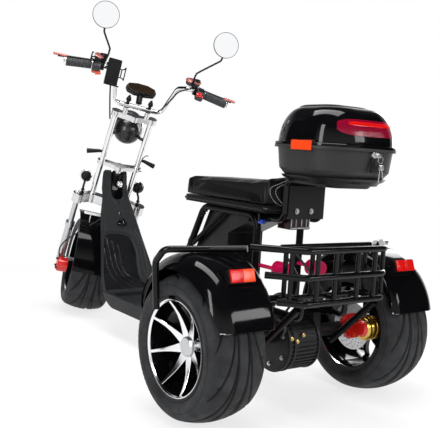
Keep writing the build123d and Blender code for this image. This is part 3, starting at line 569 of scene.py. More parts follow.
# %% Shared mesh tools
def finished(name, mesh, materials, body, crease, stands_for=()):
    """Turn a mesh or bmesh into a piece: finish, shading and body."""
    if isinstance(mesh, bmesh.types.BMesh):
        plain = bpy.data.meshes.new(name)
        mesh.to_mesh(plain)
        mesh.free()
        mesh = plain
    mesh.name = name
    piece = linked(name, mesh)
    if not len(mesh.materials):
        for material in materials if isinstance(materials, (list, tuple)) else [materials]:
            mesh.materials.append(material)
    mesh.polygons.foreach_set("use_smooth", [True] * len(mesh.polygons))
    mesh.set_sharp_from_angle(angle=radians(crease))
    if stands_for:
        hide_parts(*stands_for)
    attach(piece, body)
    return piece


def turned(place, profile, steps, start=0.0, bm=None):
    """Spin (radius, along) points about a place's z axis. A point on the axis becomes a pole."""
    bm = bm or bmesh.new()
    turns = [start + tau * step / steps for step in range(steps)]
    rings = []
    for radius, along in profile:
        if radius < 1e-7:
            rings.append([bm.verts.new(place @ Vector((0, 0, along)))])
            continue
        rings.append([
            bm.verts.new(place @ Vector((radius * cos(turn), radius * sin(turn), along)))
            for turn in turns
        ])
    for low, high in zip(rings, rings[1:]):
        for step in range(steps):
            after = (step + 1) % steps
            corners = list(dict.fromkeys((
                low[step % len(low)], low[after % len(low)],
                high[after % len(high)], high[step % len(high)],
            )))
            if len(corners) > 2:
                bm.faces.new(corners)
    return bm


def outward(bm):
    """Weld a closed mesh and point its faces outwards."""
    bmesh.ops.remove_doubles(bm, verts=bm.verts, dist=1e-6)
    bmesh.ops.recalc_face_normals(bm, faces=bm.faces)
    return bm


def smooth_line(points, per_span=8):
    """Points along a smooth line through the given ones."""
    points = [Vector(p) for p in points]
    ends = [2 * points[0] - points[1], *points, 2 * points[-1] - points[-2]]
    line = []
    for a, b, c, d in zip(ends, ends[1:], ends[2:], ends[3:]):
        for step in range(per_span):
            t = step / per_span
            line.append(0.5 * (
                2 * b + (c - a) * t + (2 * a - 5 * b + 4 * c - d) * t * t
                + (3 * b - a - 3 * c + d) * t ** 3
            ))
    return [*line, points[-1]]


def along_line(bm, line, radius, sides):
    """Closed round bar along a line of points; radius may be a list, one for each point."""
    radii = radius if isinstance(radius, (list, tuple)) else [radius] * len(line)
    side = None
    rings = []
    for number, (point, size) in enumerate(zip(line, radii)):
        ahead = line[min(number + 1, len(line) - 1)] - line[max(number - 1, 0)]
        ahead.normalize()
        if side is None:
            side = ahead.orthogonal().normalized()
        side = (side - ahead * side.dot(ahead)).normalized()
        other = ahead.cross(side)
        rings.append([
            bm.verts.new(point + size * (side * cos(turn) + other * sin(turn)))
            for turn in (tau * s / sides for s in range(sides))
        ])
    for low, high in zip(rings, rings[1:]):
        for s in range(sides):
            bm.faces.new((low[s], low[(s + 1) % sides], high[(s + 1) % sides], high[s]))
    for ring in (list(reversed(rings[0])), rings[-1]):
        bm.faces.new(ring)
    return bm


def rod(bm, start, end, radius, sides):
    """Straight bar between two points."""
    return along_line(bm, [Vector(start), Vector(end)], radius, sides)


def block(bm, place, size, edge):
    """Box centred on a place, its edges rounded a little."""
    made = bmesh.ops.create_cube(bm, size=1.0, matrix=place @ Matrix.Diagonal((*size, 1)))
    edges = {e for vert in made["verts"] for e in vert.link_edges}
    bmesh.ops.bevel(bm, geom=list(edges), offset=edge, segments=2, affect="EDGES", profile=0.7)
    return bm


print("mesh tools ready")

# %% [markdown]
# ## Screws
# A vehicle is held together by dozens of hexagon heads. Each could be placed by hand as an object,
# but a change of size would mean touching them all. A node tree sets one head on every point of a
# mesh and turns it to face the way that the point's attribute says.

# %% A node tree that sets screws
def screw_tree():
    """Hexagon head on a washer at each point, facing along the attribute 'facing'."""
    tree, start, end = geometry_tree(
        "screws", ("Head radius", "Float", 0.005), ("Head height", "Float", 0.004),
        ("Washer radius", "Float", 0.007), ("Finish", "Material", None),
    )
    head, washer, heads, lift, points, facing, spread, real, colour = new_nodes(
        tree, "GeometryNode", "MeshCylinder", "MeshCylinder", "JoinGeometry", "Transform",
        "MeshToPoints", "InputNamedAttribute", "InstanceOnPoints", "RealizeInstances",
        "SetMaterial",
    )
    thin, half, rise = new_nodes(tree, "ShaderNode", "Math", "Math", "CombineXYZ")
    turn = tree.nodes.new("FunctionNodeAlignRotationToVector")
    head.inputs["Vertices"].default_value = 6
    washer.inputs["Vertices"].default_value = 18
    # The washer's thickness and the lift of the head's middle, as shares of the head's height.
    for node, share in ((thin, 0.4), (half, 0.7)):
        node.operation = "MULTIPLY"
        node.inputs[1].default_value = share
    facing.data_type = "FLOAT_VECTOR"
    facing.inputs["Name"].default_value = "facing"
    turn.axis = "Z"
    wired(
        tree, (start, "Head radius", head, "Radius"), (start, "Head height", head, "Depth"),
        (start, "Washer radius", washer, "Radius"), (start, "Head height", thin, 0),
        (thin, 0, washer, "Depth"), (start, "Head height", half, 0), (half, 0, rise, "Z"),
        (rise, 0, lift, "Translation"), (head, "Mesh", lift, "Geometry"),
        (lift, "Geometry", heads, 0),
        (washer, "Mesh", heads, 0), (start, "Geometry", points, "Mesh"),
        (points, "Points", spread, "Points"), (heads, "Geometry", spread, "Instance"),
        (facing, "Attribute", turn, "Vector"), (turn, "Rotation", spread, "Rotation"),
        (spread, "Instances", real, "Geometry"), (real, "Geometry", colour, "Geometry"),
        (start, "Finish", colour, "Material"), (colour, "Geometry", end, "Geometry"),
    )
    return tree


screws_group = screw_tree()


def set_input(modifier, name, value):
    """Set a tree's named input on its modifier, by the socket's identifier."""
    for item in modifier.node_group.interface.items_tree:
        if item.item_type == "SOCKET" and item.in_out == "INPUT" and item.name == name:
            modifier[item.identifier] = value
            return
    raise KeyError(name)


def shown_mesh(piece):
    """New mesh of an object as it is shown, with its modifiers applied."""
    evaluated = piece.evaluated_get(bpy.context.evaluated_depsgraph_get())
    return bpy.data.meshes.new_from_object(evaluated)


def grown(name, seed_mesh, tree, inputs):
    """Run a node tree on a mesh and give the result as a plain mesh."""
    seed = linked(name + "_seed", seed_mesh)
    modifier = seed.modifiers.new("grow", "NODES")
    modifier.node_group = tree
    for key, value in inputs.items():
        set_input(modifier, key, value)
    mesh = shown_mesh(seed)
    bpy.data.objects.remove(seed)
    return mesh


def screws(name, places, body, material, head, height, washer):
    """One piece of screws, each place a point and the way that its head faces."""
    seed = bpy.data.meshes.new(name + "_points")
    seed.from_pydata([tuple(point) for point, _ in places], [], [])
    facing = seed.attributes.new("facing", "FLOAT_VECTOR", "POINT")
    facing.data.foreach_set("vector", [c for _, way in places for c in Vector(way).normalized()])
    mesh = grown(name, seed, screws_group, {
        "Head radius": head, "Head height": height, "Washer radius": washer, "Finish": material,
    })
    mesh.materials.clear()
    piece = finished(name, mesh, material, body, 25)
    print(name, len(places), "screws,", len(mesh.polygons), "faces")
    return piece

# %% [markdown]
# ## Tyres
# A scooter tyre is read by its tread: long grooves that leave the shoulder sideways and then bend
# along the tyre. Cutting them as solids would break the mesh, and a bump map would leave the edge
# of the tyre smooth. So the tyre is a fine grid, its points pushed in wherever a groove line
# passes, and the same depth is stored as an attribute that paints shade into the groove.

# %% Tyre grid
tyre_radius = axle_height
tyre_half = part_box("right_tyre")[1][0] - half_track
rim_seat, flange_edge, bead = 0.1523, 0.1643, 0.0907
crown_radius = 0.25


def arc_through(start, middle, end, count):
    """Even points on the circle through three points, both ends included."""
    (ax, ay), (bx, by), (cx, cy) = start, middle, end
    d = 2 * (ax * (by - cy) + bx * (cy - ay) + cx * (ay - by))
    a2, b2, c2 = ax * ax + ay * ay, bx * bx + by * by, cx * cx + cy * cy
    ux = (a2 * (by - cy) + b2 * (cy - ay) + c2 * (ay - by)) / d
    uy = (a2 * (cx - bx) + b2 * (ax - cx) + c2 * (bx - ax)) / d
    radius = hypot(ax - ux, ay - uy)
    first = atan2(ay - uy, ax - ux)
    turn = (atan2(cy - uy, cx - ux) - first + pi) % tau - pi
    return [
        (ux + radius * cos(first + turn * n / (count - 1)),
         uy + radius * sin(first + turn * n / (count - 1)))
        for n in range(count)
    ]


def tyre_section():
    """(radius, place along the axle) from the inner bead over the crown to the outer bead."""
    edge = tyre_half - 0.021
    edge_radius = tyre_radius - crown_radius + sqrt(crown_radius**2 - edge**2)
    crown = arc_through((edge_radius, 0.0 - edge), (tyre_radius, 0.0), (edge_radius, edge), 97)
    shoulder = arc_through((edge_radius, edge), (edge_radius - 0.014, tyre_half - 0.006),
                           (edge_radius - 0.038, tyre_half), 14)
    wall = arc_through((edge_radius - 0.038, tyre_half), (flange_edge + 0.01, tyre_half - 0.004),
                       (flange_edge, tyre_half - 0.011), 8)
    side = [*shoulder[1:], *wall[1:], (flange_edge, bead), (rim_seat, bead)]
    return [*((r, -a) for r, a in reversed(side)), *crown, *side]


section = np.array(tyre_section())
rounds_about = 360
groove_count, groove_sweep, groove_depth = 9, radians(118), 0.0055
# A groove starts this far from the middle, runs this far inwards and bends with this power; its
# slope is measured on a circle of the tread's mean radius.
groove_start, groove_run, groove_bend, mean_radius = 0.092, 0.074, 3.4, 0.235


def groove_pattern(angle, along, side, shift):
    """Depth share, 0 to 1, of the grooves on one side of the tread."""
    depth = np.zeros(np.broadcast(angle, along).shape)
    for number in range(groove_count):
        start = (number + shift) * tau / groove_count
        t = ((angle - start) % tau) / groove_sweep
        inside = np.clip(t, 0, 1)
        line = side * (groove_start - groove_run * (1 - (1 - inside) ** groove_bend))
        slope = groove_run * groove_bend * (1 - inside) ** (groove_bend - 1)
        slope /= groove_sweep * mean_radius
        away = np.abs(along - line) / np.sqrt(1 + slope**2)
        half_width = 0.0042 * np.clip((1 - t) * 6, 0, 1) ** 0.5 * np.clip(0.35 + t * 12, 0, 1)
        cut = np.clip(1.5 - away / np.maximum(half_width, 1e-5) * 1.2, 0, 1) * (t <= 1)
        # A short sipe between two grooves, on the shoulder.
        sipe_t = np.abs(((angle - start - 0.22) % tau + pi) % tau - pi) * mean_radius
        sipe = np.clip(1.6 - sipe_t / 0.0028, 0, 1) * (np.abs(along - side * 0.07) < 0.009)
        depth = np.maximum(depth, np.maximum(cut, 0.7 * sipe))
    return depth


def make_tyre(name, place, body, stands_for, way):
    """A tyre grid in its wheel's place; way is the direction that its grooves run."""
    angle = np.linspace(0, tau, rounds_about, endpoint=False)[:, None]
    radius, along = section[:, 0][None, :], section[:, 1][None, :]
    depth = np.maximum(groove_pattern(way * angle, along, 1, 0.0),
                       groove_pattern(way * angle, along, -1, 0.5))
    depth = depth * (radius > tyre_radius - 0.032)
    # Sidewall: a fine ring line and moulded ticks near the shoulder.
    wall = np.abs(along) > tyre_half - 0.012
    ring = np.clip(1.3 - np.abs(radius - 0.199) / 0.0012, 0, 1) * wall
    ticks = (np.cos(angle * 72) > 0.8) * (np.abs(radius - 0.2095) < 0.004) * wall
    sunk = groove_depth * depth + 0.0012 * ring + 0.001 * ticks
    # Push along the section's own normal.
    step = np.gradient(section, axis=0)
    normal = np.stack([step[:, 1], -step[:, 0]], axis=1)
    normal /= np.linalg.norm(normal, axis=1)[:, None]
    r = radius - sunk * normal[:, 0][None, :]
    a = along - sunk * normal[:, 1][None, :]
    points = np.stack([r * np.cos(angle), r * np.sin(angle), a + 0 * angle], axis=2).reshape(-1, 3)
    turn = np.array(place.to_3x3())
    points = points @ turn.T + np.array(place.translation)
    across = len(section)
    ring_index = np.arange(rounds_about)[:, None] * across
    next_index = (np.arange(1, rounds_about + 1) % rounds_about)[:, None] * across
    column = np.arange(across - 1)[None, :]
    faces = np.stack([ring_index + column, next_index + column, next_index + column + 1,
                      ring_index + column + 1], axis=2).reshape(-1, 4)
    mesh = bpy.data.meshes.new(name)
    mesh.from_pydata(points.tolist(), [], faces.tolist())
    groove = mesh.attributes.new("groove", "FLOAT", "POINT")
    # Painted shade in the colour: the grooves fully, the sidewall's sunk ring line at 0.6.
    dark = np.maximum(depth, 0.6 * ring + 0 * depth)
    groove.data.foreach_set("value", np.clip(dark, 0, 1).reshape(-1))
    piece = finished(name, mesh, tyre_rubber, body, 60, stands_for)
    print(name, len(mesh.polygons), "faces")
    return piece


def wheel_place(joint, outer, up):
    """Matrix at a wheel's centre: z outwards along the axle, x up."""
    return square_place(joints[joint]["pos_m"], up, outer)


left_place = wheel_place("left_wheel_spin", (-1, 0, 0), (0, 0, 1))
right_place = wheel_place("right_wheel_spin", (1, 0, 0), (0, 0, 1))
fork_up = fork_place.to_3x3() @ Vector((0, 0, 1))
fork_across = fork_place.to_3x3() @ Vector((1, 0, 0))
front_place = wheel_place("front_wheel_spin", fork_across, fork_up)
make_tyre("left_tyre_tread", left_place, "left_wheel", ("left_tyre",), 1)
make_tyre("right_tyre_tread", right_place, "right_wheel", ("right_tyre",), -1)
make_tyre("front_tyre_tread", front_place, "front_wheel", ("front_tyre",), -1)

# %% [markdown]
# ## Wheels
# The alloy wheels have eight dished blades with machined faces, a deep black barrel and a hub ring
# of bolts. The blade could be modelled eight times, but one blade and a node tree that turns copies
# of it about the axle keeps them alike: its count and its first angle are inputs. The barrel, hub
# and cap are turned profiles, as they are on a lathe.

# %% A node tree that repeats about the axle
def around_tree():
    """Turn copies of the incoming mesh about the z axis."""
    tree, start, end = geometry_tree("around", ("Count", "Int", 8), ("First angle", "Float", None))
    line, spread, index, real = new_nodes(
        tree, "GeometryNode", "MeshLine", "InstanceOnPoints", "InputIndex", "RealizeInstances"
    )
    line.inputs["Offset"].default_value = (0, 0, 0)
    share, turn, add, angles = new_nodes(tree, "ShaderNode", "Math", "Math", "Math", "CombineXYZ")
    share.operation, turn.operation, add.operation = "DIVIDE", "MULTIPLY", "ADD"
    turn.inputs[1].default_value = tau
    wired(
        tree, (start, "Count", line, "Count"), (line, "Mesh", spread, "Points"),
        (start, "Geometry", spread, "Instance"), (index, "Index", share, 0),
        (start, "Count", share, 1),
        (share, 0, turn, 0), (turn, 0, add, 0), (start, "First angle", add, 1),
        (add, 0, angles, "Z"),
        (angles, 0, spread, "Rotation"), (spread, "Instances", real, "Geometry"),
        (real, "Geometry", end, "Geometry"),
    )
    return tree


around = around_tree()


def repeated(name, bm, materials, count, first=0.0):
    """Copies of a mesh about the z axis, as one mesh."""
    seed = bpy.data.meshes.new(name + "_one")
    bm.to_mesh(seed)
    bm.free()
    for material in materials:
        seed.materials.append(material)
    return grown(name, seed, around, {"Count": count, "First angle": first})


# %% Wheel pieces
barrel_inner, rim_half = 0.147, 0.098
hub_ring, cap_radius, cap_face = 0.05, 0.031, 0.053
blade_phase = radians(18)
# Blade stations: radius, half width of the face, place of the face, depth
blade_rows = mm(
    (30, 16.5, 44.5, 20), (44, 15, 47, 22), (62, 12.2, 50.8, 23), (84, 9.2, 56.8, 22),
    (106, 7, 65.5, 21), (126, 5.6, 76.8, 20), (140, 5, 86.5, 19), (148.5, 5.4, 92.5, 18),
)


def blade_mesh():
    """One blade: a silver face with a fine chamfer, on black sides that swell towards the back."""
    bm = bmesh.new()
    rings = []
    for radius, half, face, deep in blade_rows:
        chamfer = 0.0011
        outline = (
            (-half * 1.25, face - deep), (-half, face - chamfer), (chamfer - half, face),
            (0.0, face + 0.0004), (half - chamfer, face), (half, face - chamfer),
            (half * 1.25, face - deep),
        )
        rings.append([bm.verts.new((radius, y, z)) for y, z in outline])
    for low, high in zip(rings, rings[1:]):
        for n in range(6):
            face = bm.faces.new((low[n], high[n], high[n + 1], low[n + 1]))
            face.material_index = 1 if n in (1, 2, 3, 4) else 0
        bm.faces.new((low[6], high[6], high[0], low[0]))
    for ring in (rings[0], rings[-1]):
        cap = bm.faces.new(ring)
        cap.material_index = 1 if ring is rings[-1] else 0
    return outward(bm)


def disc_mesh(outer, inner, low, high, holes):
    """Brake disc between two faces with rows of drilled holes: flat grid, holes left out."""
    bm = bmesh.new()
    steps, rings = 180, 11
    radii = [inner + (outer - inner) * n / (rings - 1) for n in range(rings)]
    grid = {}
    for side, height in enumerate((low, high)):
        for ring, radius in enumerate(radii):
            for step in range(steps):
                angle = tau * step / steps
                spot = (radius * cos(angle), radius * sin(angle), height)
                grid[side, ring, step] = bm.verts.new(spot)
    open_cells = {
        (ring, (hole * steps // holes + ring * 2) % steps + extra)
        for hole in range(holes) for ring in range(1, rings - 2, 2) for extra in (0, 1)
    }
    open_cells = {(ring, step % steps) for ring, step in open_cells}
    for ring in range(rings - 1):
        for step in range(steps):
            after = (step + 1) % steps
            if (ring, step) in open_cells:
                corners = ((ring, step), (ring, after), (ring + 1, after), (ring + 1, step))
                beyond = (
                    (ring - 1, step), (ring, after), (ring + 1, step), (ring, (step - 1) % steps),
                )
                for a, b, other in zip(corners, (*corners[1:], corners[0]), beyond):
                    if other not in open_cells:
                        bm.faces.new((grid[0, *a], grid[0, *b], grid[1, *b], grid[1, *a]))
                continue
            for side in (0, 1):
                bm.faces.new((grid[side, ring, step], grid[side, ring, after],
                              grid[side, ring + 1, after], grid[side, ring + 1, step]))
    for ring in (0, rings - 1):
        for step in range(steps):
            after = (step + 1) % steps
            a, b = (ring, step), (ring, after)
            bm.faces.new((grid[0, *a], grid[0, *b], grid[1, *b], grid[1, *a]))
    return outward(bm)


def dress_wheel(name, place, body, stands_for, rear):
    """Barrel, lip, hub, blades, cap, bolts and disc of one wheel."""
    def fitted(ending, mesh, material, crease, stands_for=()):
        if isinstance(mesh, bmesh.types.BMesh):
            bmesh.ops.transform(mesh, matrix=place, verts=mesh.verts)
        else:
            mesh.transform(place)
        finished(name + ending, mesh, material, body, crease, stands_for)

    half, flange = rim_half, 0.164
    barrel = turned(Matrix(), [
        (flange - 0.0004, -half + 0.0004), (flange, -half + 0.0014), (flange, -half + 0.0064),
        (0.152, -half + 0.0072), (0.1515, -0.078), (0.1515, 0.078), (0.152, half - 0.0072),
        (flange, half - 0.0064), (flange, half - 0.0014), (flange - 0.0006, half - 0.0004),
        (flange - 0.003, half), (0.1535, half - 0.0004), (0.1505, half - 0.0016),
        (barrel_inner, half - 0.006), (barrel_inner - 0.0006, 0.06), (barrel_inner - 0.004, 0.052),
        (barrel_inner - 0.004, 0.03), (barrel_inner - 0.0015, 0.018),
        (barrel_inner - 0.0015, -0.05), (barrel_inner - 0.003, -0.058),
        (barrel_inner - 0.001, -0.072), (barrel_inner, -half + 0.004),
        (barrel_inner + 0.003, -half), (flange - 0.0004, -half + 0.0004),
    ], 120)
    outward(barrel)
    for face in barrel.faces:
        middle = face.calc_center_median()
        radius = hypot(middle.x, middle.y)
        if abs(middle.z) > half - 0.006 and barrel_inner < radius < 0.1545:
            face.material_index = 1
    two_tone = [gloss_black, cut_silver]
    fitted("_barrel", barrel, two_tone, 28, stands_for)
    blades = repeated(name + "_blades", blade_mesh(), two_tone, 8, blade_phase)
    fitted("_blades", blades, two_tone, 30)

    back = -0.084 if rear else -0.074
    hub = turned(Matrix(), [
        (0.0115, back), (0.044, back), (0.046, back + 0.002), (0.046, 0.012), (0.05, 0.016),
        (hub_ring, 0.0265), (hub_ring - 0.0015, 0.029), (0.033, 0.03), (0.0325, 0.0425),
        (0.0115, 0.0435), (0.0115, back),
    ], 72)
    fitted("_hub", outward(hub), gloss_black, 30)

    cap = turned(Matrix(), [
        (0, cap_face), (0.02, cap_face - 0.0003), (0.0285, cap_face - 0.001),
        (cap_radius, cap_face - 0.0032), (cap_radius, 0.044), (0.0, 0.044),
    ], 72)
    fitted("_cap", outward(cap), satin_silver, 25)

    nut = turned(Matrix.Translation((0.0415, 0, 0)), mm(
        (0, 39.5), (3, 39.3), (4.2, 38.5), (4.4, 34), (6.2, 33.5), (6.4, 31.2), (7.8, 31.2),
        (8, 29.8), (0, 29.8),
    ), 18)
    nuts = repeated(name + "_nuts", outward(nut), [cut_silver], 8, blade_phase + pi / 8)
    fitted("_nuts", nuts, cut_silver, 25)

    disc = disc_mesh(0.088, 0.0455, -0.072, -0.068, 18)
    fitted("_disc", disc, steel, 30)


dress_wheel("left_wheel", left_place, "left_wheel", ("left_rim",), True)
dress_wheel("right_wheel", right_place, "right_wheel", ("right_rim",), True)
dress_wheel("front_wheel", front_place, "front_wheel", ("front_rim",), False)
print("wheels dressed")

# %% [markdown]
# ## Seat cushion
# Vinyl over foam is pulled tight at the base and swells between its seams. It could be sculpted by
# moving points, but pressure does it better: the solid cushion is remeshed into an even skin, held
# along its foot, and blown up a little with Cloth. How far a point may go is capped, because foam
# doesn't balloon.

# %% Cushion skin
cushion_node = nodes["seat_cushion"]
(_, _, cushion_foot), (seat_side, _, _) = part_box("seat_cushion")


def even_skin(name, source, voxel, shrink):
    """Even quads over a solid node, pulled in a little so that it has room to swell."""
    body = linked(name, source.data.copy())
    body.matrix_world = source.matrix_world.copy()
    body.modifiers.clear()
    remesh = body.modifiers.new("skin", "REMESH")
    remesh.mode, remesh.voxel_size = "VOXEL", voxel
    mesh = shown_mesh(body)
    mesh.transform(body.matrix_world)
    bpy.data.objects.remove(body)
    bm = bmesh.new()
    bm.from_mesh(mesh)
    for _ in range(6):
        bmesh.ops.smooth_vert(bm, verts=bm.verts, factor=0.5, use_axis_x=True, use_axis_y=True,
                              use_axis_z=True)
    bm.normal_update()
    for vert in bm.verts:
        vert.co -= vert.normal * shrink
        vert.co.z = max(vert.co.z, cushion_foot)
    bm.to_mesh(mesh)
    bm.free()
    return mesh


def blown(name, mesh, frames, pressure, cap, pinned):
    """Cloth under pressure for a few frames; no point moves further than the cap."""
    piece = linked(name, mesh)
    held = piece.vertex_groups.new(name="held")
    held.add([v.index for v in mesh.vertices if pinned(v.co)], 1.0, "REPLACE")
    start = np.array([v.co for v in mesh.vertices])
    cloth = piece.modifiers.new("cloth", "CLOTH")
    settings = cloth.settings
    settings.quality, settings.mass = 4, 0.3
    settings.tension_stiffness = settings.compression_stiffness = 12
    settings.bending_stiffness = 0.6
    settings.use_pressure, settings.uniform_pressure_force = True, pressure
    settings.effector_weights.gravity = 0
    settings.vertex_group_mass = "held"
    cloth.collision_settings.use_collision = False
    cloth.point_cache.frame_start, cloth.point_cache.frame_end = 1, frames
    for number in range(1, frames + 1):
        bpy.context.scene.frame_set(number)
    evaluated = piece.evaluated_get(bpy.context.evaluated_depsgraph_get())
    after = np.array([v.co for v in evaluated.data.vertices])
    move = after - start
    length = np.linalg.norm(move, axis=1)
    scale = np.minimum(1, cap / np.maximum(length, 1e-9))
    after = start + move * scale[:, None]
    bpy.data.objects.remove(piece)
    bpy.context.scene.frame_set(1)
    mesh.vertices.foreach_set("co", after.reshape(-1))
    mesh.update()
    print(name, len(after), "points, mean move", round(float(length.mean()) * 1000, 2), "mm")
    return mesh


skin = even_skin("cushion", cushion_node, 0.0055, 0.004)
skin = blown("cushion_cloth", skin, 20, 4.0, 0.008, lambda p: p.z < cushion_foot + 0.007)
# The bolster: a seam climbs each side, leans back near the top edge and crosses over the tail.
seam_side = smooth_line(mm(
    (0, 0, 684), (0, 10, 706), (0, 17, 728), (0, 16, 746), (0, 4, 762), (0, -10, 774),
    (0, -26, 782),
), 6)
seam_reach = 0.02
seam_top = (seam_side[-1].y, -0.058)


def seam_at(x):
    """Station of the seam on the top of the seat, furthest back in the middle."""
    return seam_top[1] + (seam_top[0] - seam_top[1]) * min(1, abs(x) / seat_side) ** 2


def seam_beside(z):
    """Station of the seam on the side of the seat at a height."""
    nearest = min(seam_side, key=lambda p: abs(p.z - z))
    return nearest.y


coordinates = np.empty(len(skin.vertices) * 3)
skin.vertices.foreach_get("co", coordinates)
coordinates = coordinates.reshape(-1, 3)
bend = np.array([
    seam_at(x) if z > seam_side[-1].z or abs(x) < seat_side - 0.014 else seam_beside(z)
    for x, _, z in coordinates
])
far = np.abs(coordinates[:, 1] - axle_y - bend) / seam_reach
dip = 0.0032 * np.exp(-(far * 2.6) ** 2) * (coordinates[:, 2] > cushion_foot + 0.012)
normals = np.empty(len(skin.vertices) * 3)
skin.vertices.foreach_get("normal", normals)
coordinates -= normals.reshape(-1, 3) * dip[:, None]
skin.vertices.foreach_set("co", coordinates.reshape(-1))
skin.update()
cushion = finished("cushion", skin, vinyl, "chassis", 180, ("seat_cushion",))
finer = cushion.modifiers.new("finer", "SUBSURF")
finer.levels = finer.render_levels = 1
print("cushion", len(skin.polygons), "faces")

# %% [markdown]
# ## Stitches
# The tail of the seat is set off by two rows of pale stitches. A texture could draw them, but a
# stitch casts a shadow and dents the vinyl. Each one is a short thread whose two ends are dropped
# on to the cushion by rays, so it follows whatever shape the pressure gave.

# %% Stitches on the cushion
from mathutils.bvhtree import BVHTree


def surface_tree(piece):
    """Tree for rays on a piece as it is shown."""
    return BVHTree.FromObject(piece, bpy.context.evaluated_depsgraph_get())


def solid_tree(node):
    """Tree for rays on a solid node, in room coordinates."""
    return BVHTree.FromPolygons(
        [node.matrix_world @ v.co for v in node.data.vertices],
        [tuple(p.vertices) for p in node.data.polygons],
    )


cushion_tree = surface_tree(cushion)


def on_cushion(x, station, side):
    """Point on the cushion: straight down on its top, or in from a side at a height."""
    if side is None:
        hit = cushion_tree.ray_cast(at(x, station, 1.0), Vector((0, 0, -1)))
    else:
        hit = cushion_tree.ray_cast(at(0.3 * side, station, x), Vector((-side, 0, 0)))
    return (hit[0], hit[1]) if hit[0] else None


stitch_pitch, stitch_length = 0.0075, 0.005


def stitch_row(bm, shift):
    """Threads along the seam at one side of it."""
    path = []
    for side in (-1, 1):
        rise = [on_cushion(p.z, p.y + shift, side) for p in seam_side]
        path.append([p for p in rise if p])
    half = seat_side - 0.008
    top = [on_cushion(x, seam_at(x) + shift, None) for x in np.linspace(-half, half, 60)]
    line = [*path[0], *[p for p in top if p], *reversed(path[1])]
    points = [p + n * 0.0006 for p, n in line]
    travelled = [0.0]
    for a, b in zip(points, points[1:]):
        travelled.append(travelled[-1] + (b - a).length)
    count = 0
    place = 0.0
    while place + stitch_length < travelled[-1]:
        ends = []
        for goal in (place, place + stitch_length / 2, place + stitch_length):
            n = max(i for i, t in enumerate(travelled) if t <= goal)
            span = max(travelled[n + 1] - travelled[n], 1e-9) if n + 1 < len(points) else 1
            share = (goal - travelled[n]) / span
            after = points[min(n + 1, len(points) - 1)]
            ends.append(points[n].lerp(after, share))
        along_line(bm, ends, [0.0005, 0.0009, 0.0005], 6)
        place += stitch_pitch
        count += 1
    return count


thread = bmesh.new()
threads = sum(stitch_row(thread, shift) for shift in (0.0055, -0.0055))
finished("stitches", thread, thread_white, "chassis", 60)
print("stitches", threads)

# %% [markdown]
# ## Seat edge
# The cushion sits on a moulded pan with a rolled lip. The solid pan is a plain slab, so the lip is
# added as a bead led round its outline.

# %% Bead of the seat pan
pan_low, pan_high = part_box("seat_base")
pan_edge = surface_tree(nodes["seat_base"])
pan_middle = Vector(((pan_low[0] + pan_high[0]) / 2, (pan_low[1] + pan_high[1]) / 2, 0))
bead_line = []
for step in range(160):
    angle = tau * step / 160
    way = Vector((cos(angle), sin(angle) * 2.2, 0)).normalized()
    start = pan_middle + way * 0.6 + Vector((0, 0, pan_low[2] + 0.012))
    hit = pan_edge.ray_cast(start, way * -1)
    if hit[0]:
        bead_line.append(hit[0])
bead = bmesh.new()
along_line(bead, [*bead_line, bead_line[0], bead_line[1]], 0.0065, 10)
finished("seat_pan_bead", bead, smooth_plastic, "chassis", 60)
print("bead points", len(bead_line))

# %% [markdown]
# ## Top box
# The lid of the box is one smooth dome that meets its seam almost upright. The solid lid climbs in
# steps, which would show as bands in gloss black. Its rows could be smoothed with a subdivision
# modifier, but that rounds off the seam as well, so the dome is rebuilt from the same rows as a
# fine grid, and the lens and the reflectors take their shape from that same surface.

# %% Lid surface
bin_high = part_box("box_bin")[1]
lid_low, lid_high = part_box("box_lid")
seam_lip = 0.007
box_half_x, box_half_y = lid_high[0] - seam_lip, 0.168
box_centre_y = lid_low[1] + seam_lip + box_half_y
box_corner, lid_foot = 0.14, bin_high[2] - 0.0048
lid_rows = smooth_line(mm(
    (3, 0, 0), (4, 0, 19), (8, 0, 43), (14, 0, 64), (22, 0, 82), (33, 0, 98), (46, 0, 111),
    (62, 0, 119.5), (84, 0, 124.5), (112, 0, 126.5),
), 5)


def ring_outline(half_x, half_y, corner, per_corner=22, per_side=4):
    """Rounded rectangle as even points, from the middle of the right side, turning left."""
    def straight(before, after):
        return [
            (before[0] + (after[0] - before[0]) * n / per_side,
             before[1] + (after[1] - before[1]) * n / per_side)
            for n in range(1, per_side)
        ]

    points = []
    for number, (cx, cy) in enumerate(((1, 1), (-1, 1), (-1, -1), (1, -1))):
        middle = ((half_x - corner) * cx, (half_y - corner) * cy)
        arc = [
            (middle[0] + corner * cos(pi / 2 * (number + n / per_corner)),
             middle[1] + corner * sin(pi / 2 * (number + n / per_corner)))
            for n in range(per_corner + 1)
        ]
        if points:
            points += straight(points[-1], arc[0])
        points += arc
    return points + straight(points[-1], points[0])


def box_ring(inset, height, proud=0.0):
    """Outline of the box at an inset and a height."""
    inset -= proud
    corner = max(box_corner - inset, 0.012)
    outline = ring_outline(box_half_x - inset, box_half_y - inset, corner)
    return [Vector((x, box_centre_y + y, height)) for x, y in outline]


def skinned(bm, rings, material=0):
    """Faces between closed rings of points that have the same count."""
    made = [[bm.verts.new(p) for p in ring] for ring in rings]
    for low, high in zip(made, made[1:]):
        for n in range(len(low)):
            after = (n + 1) % len(low)
            face = bm.faces.new((low[n], low[after], high[after], high[n]))
            face.material_index = material
    return made


def stacked(name, rings, material, body, crease):
    """Closed piece from a stack of rings, flat at both its ends."""
    bm = bmesh.new()
    made = skinned(bm, rings)
    bm.faces.new(made[-1])
    bm.faces.new(list(reversed(made[0])))
    outward(bm)
    bmesh.ops.triangulate(bm, faces=[f for f in bm.faces if len(f.verts) > 4])
    return finished(name, bm, material, body, crease)


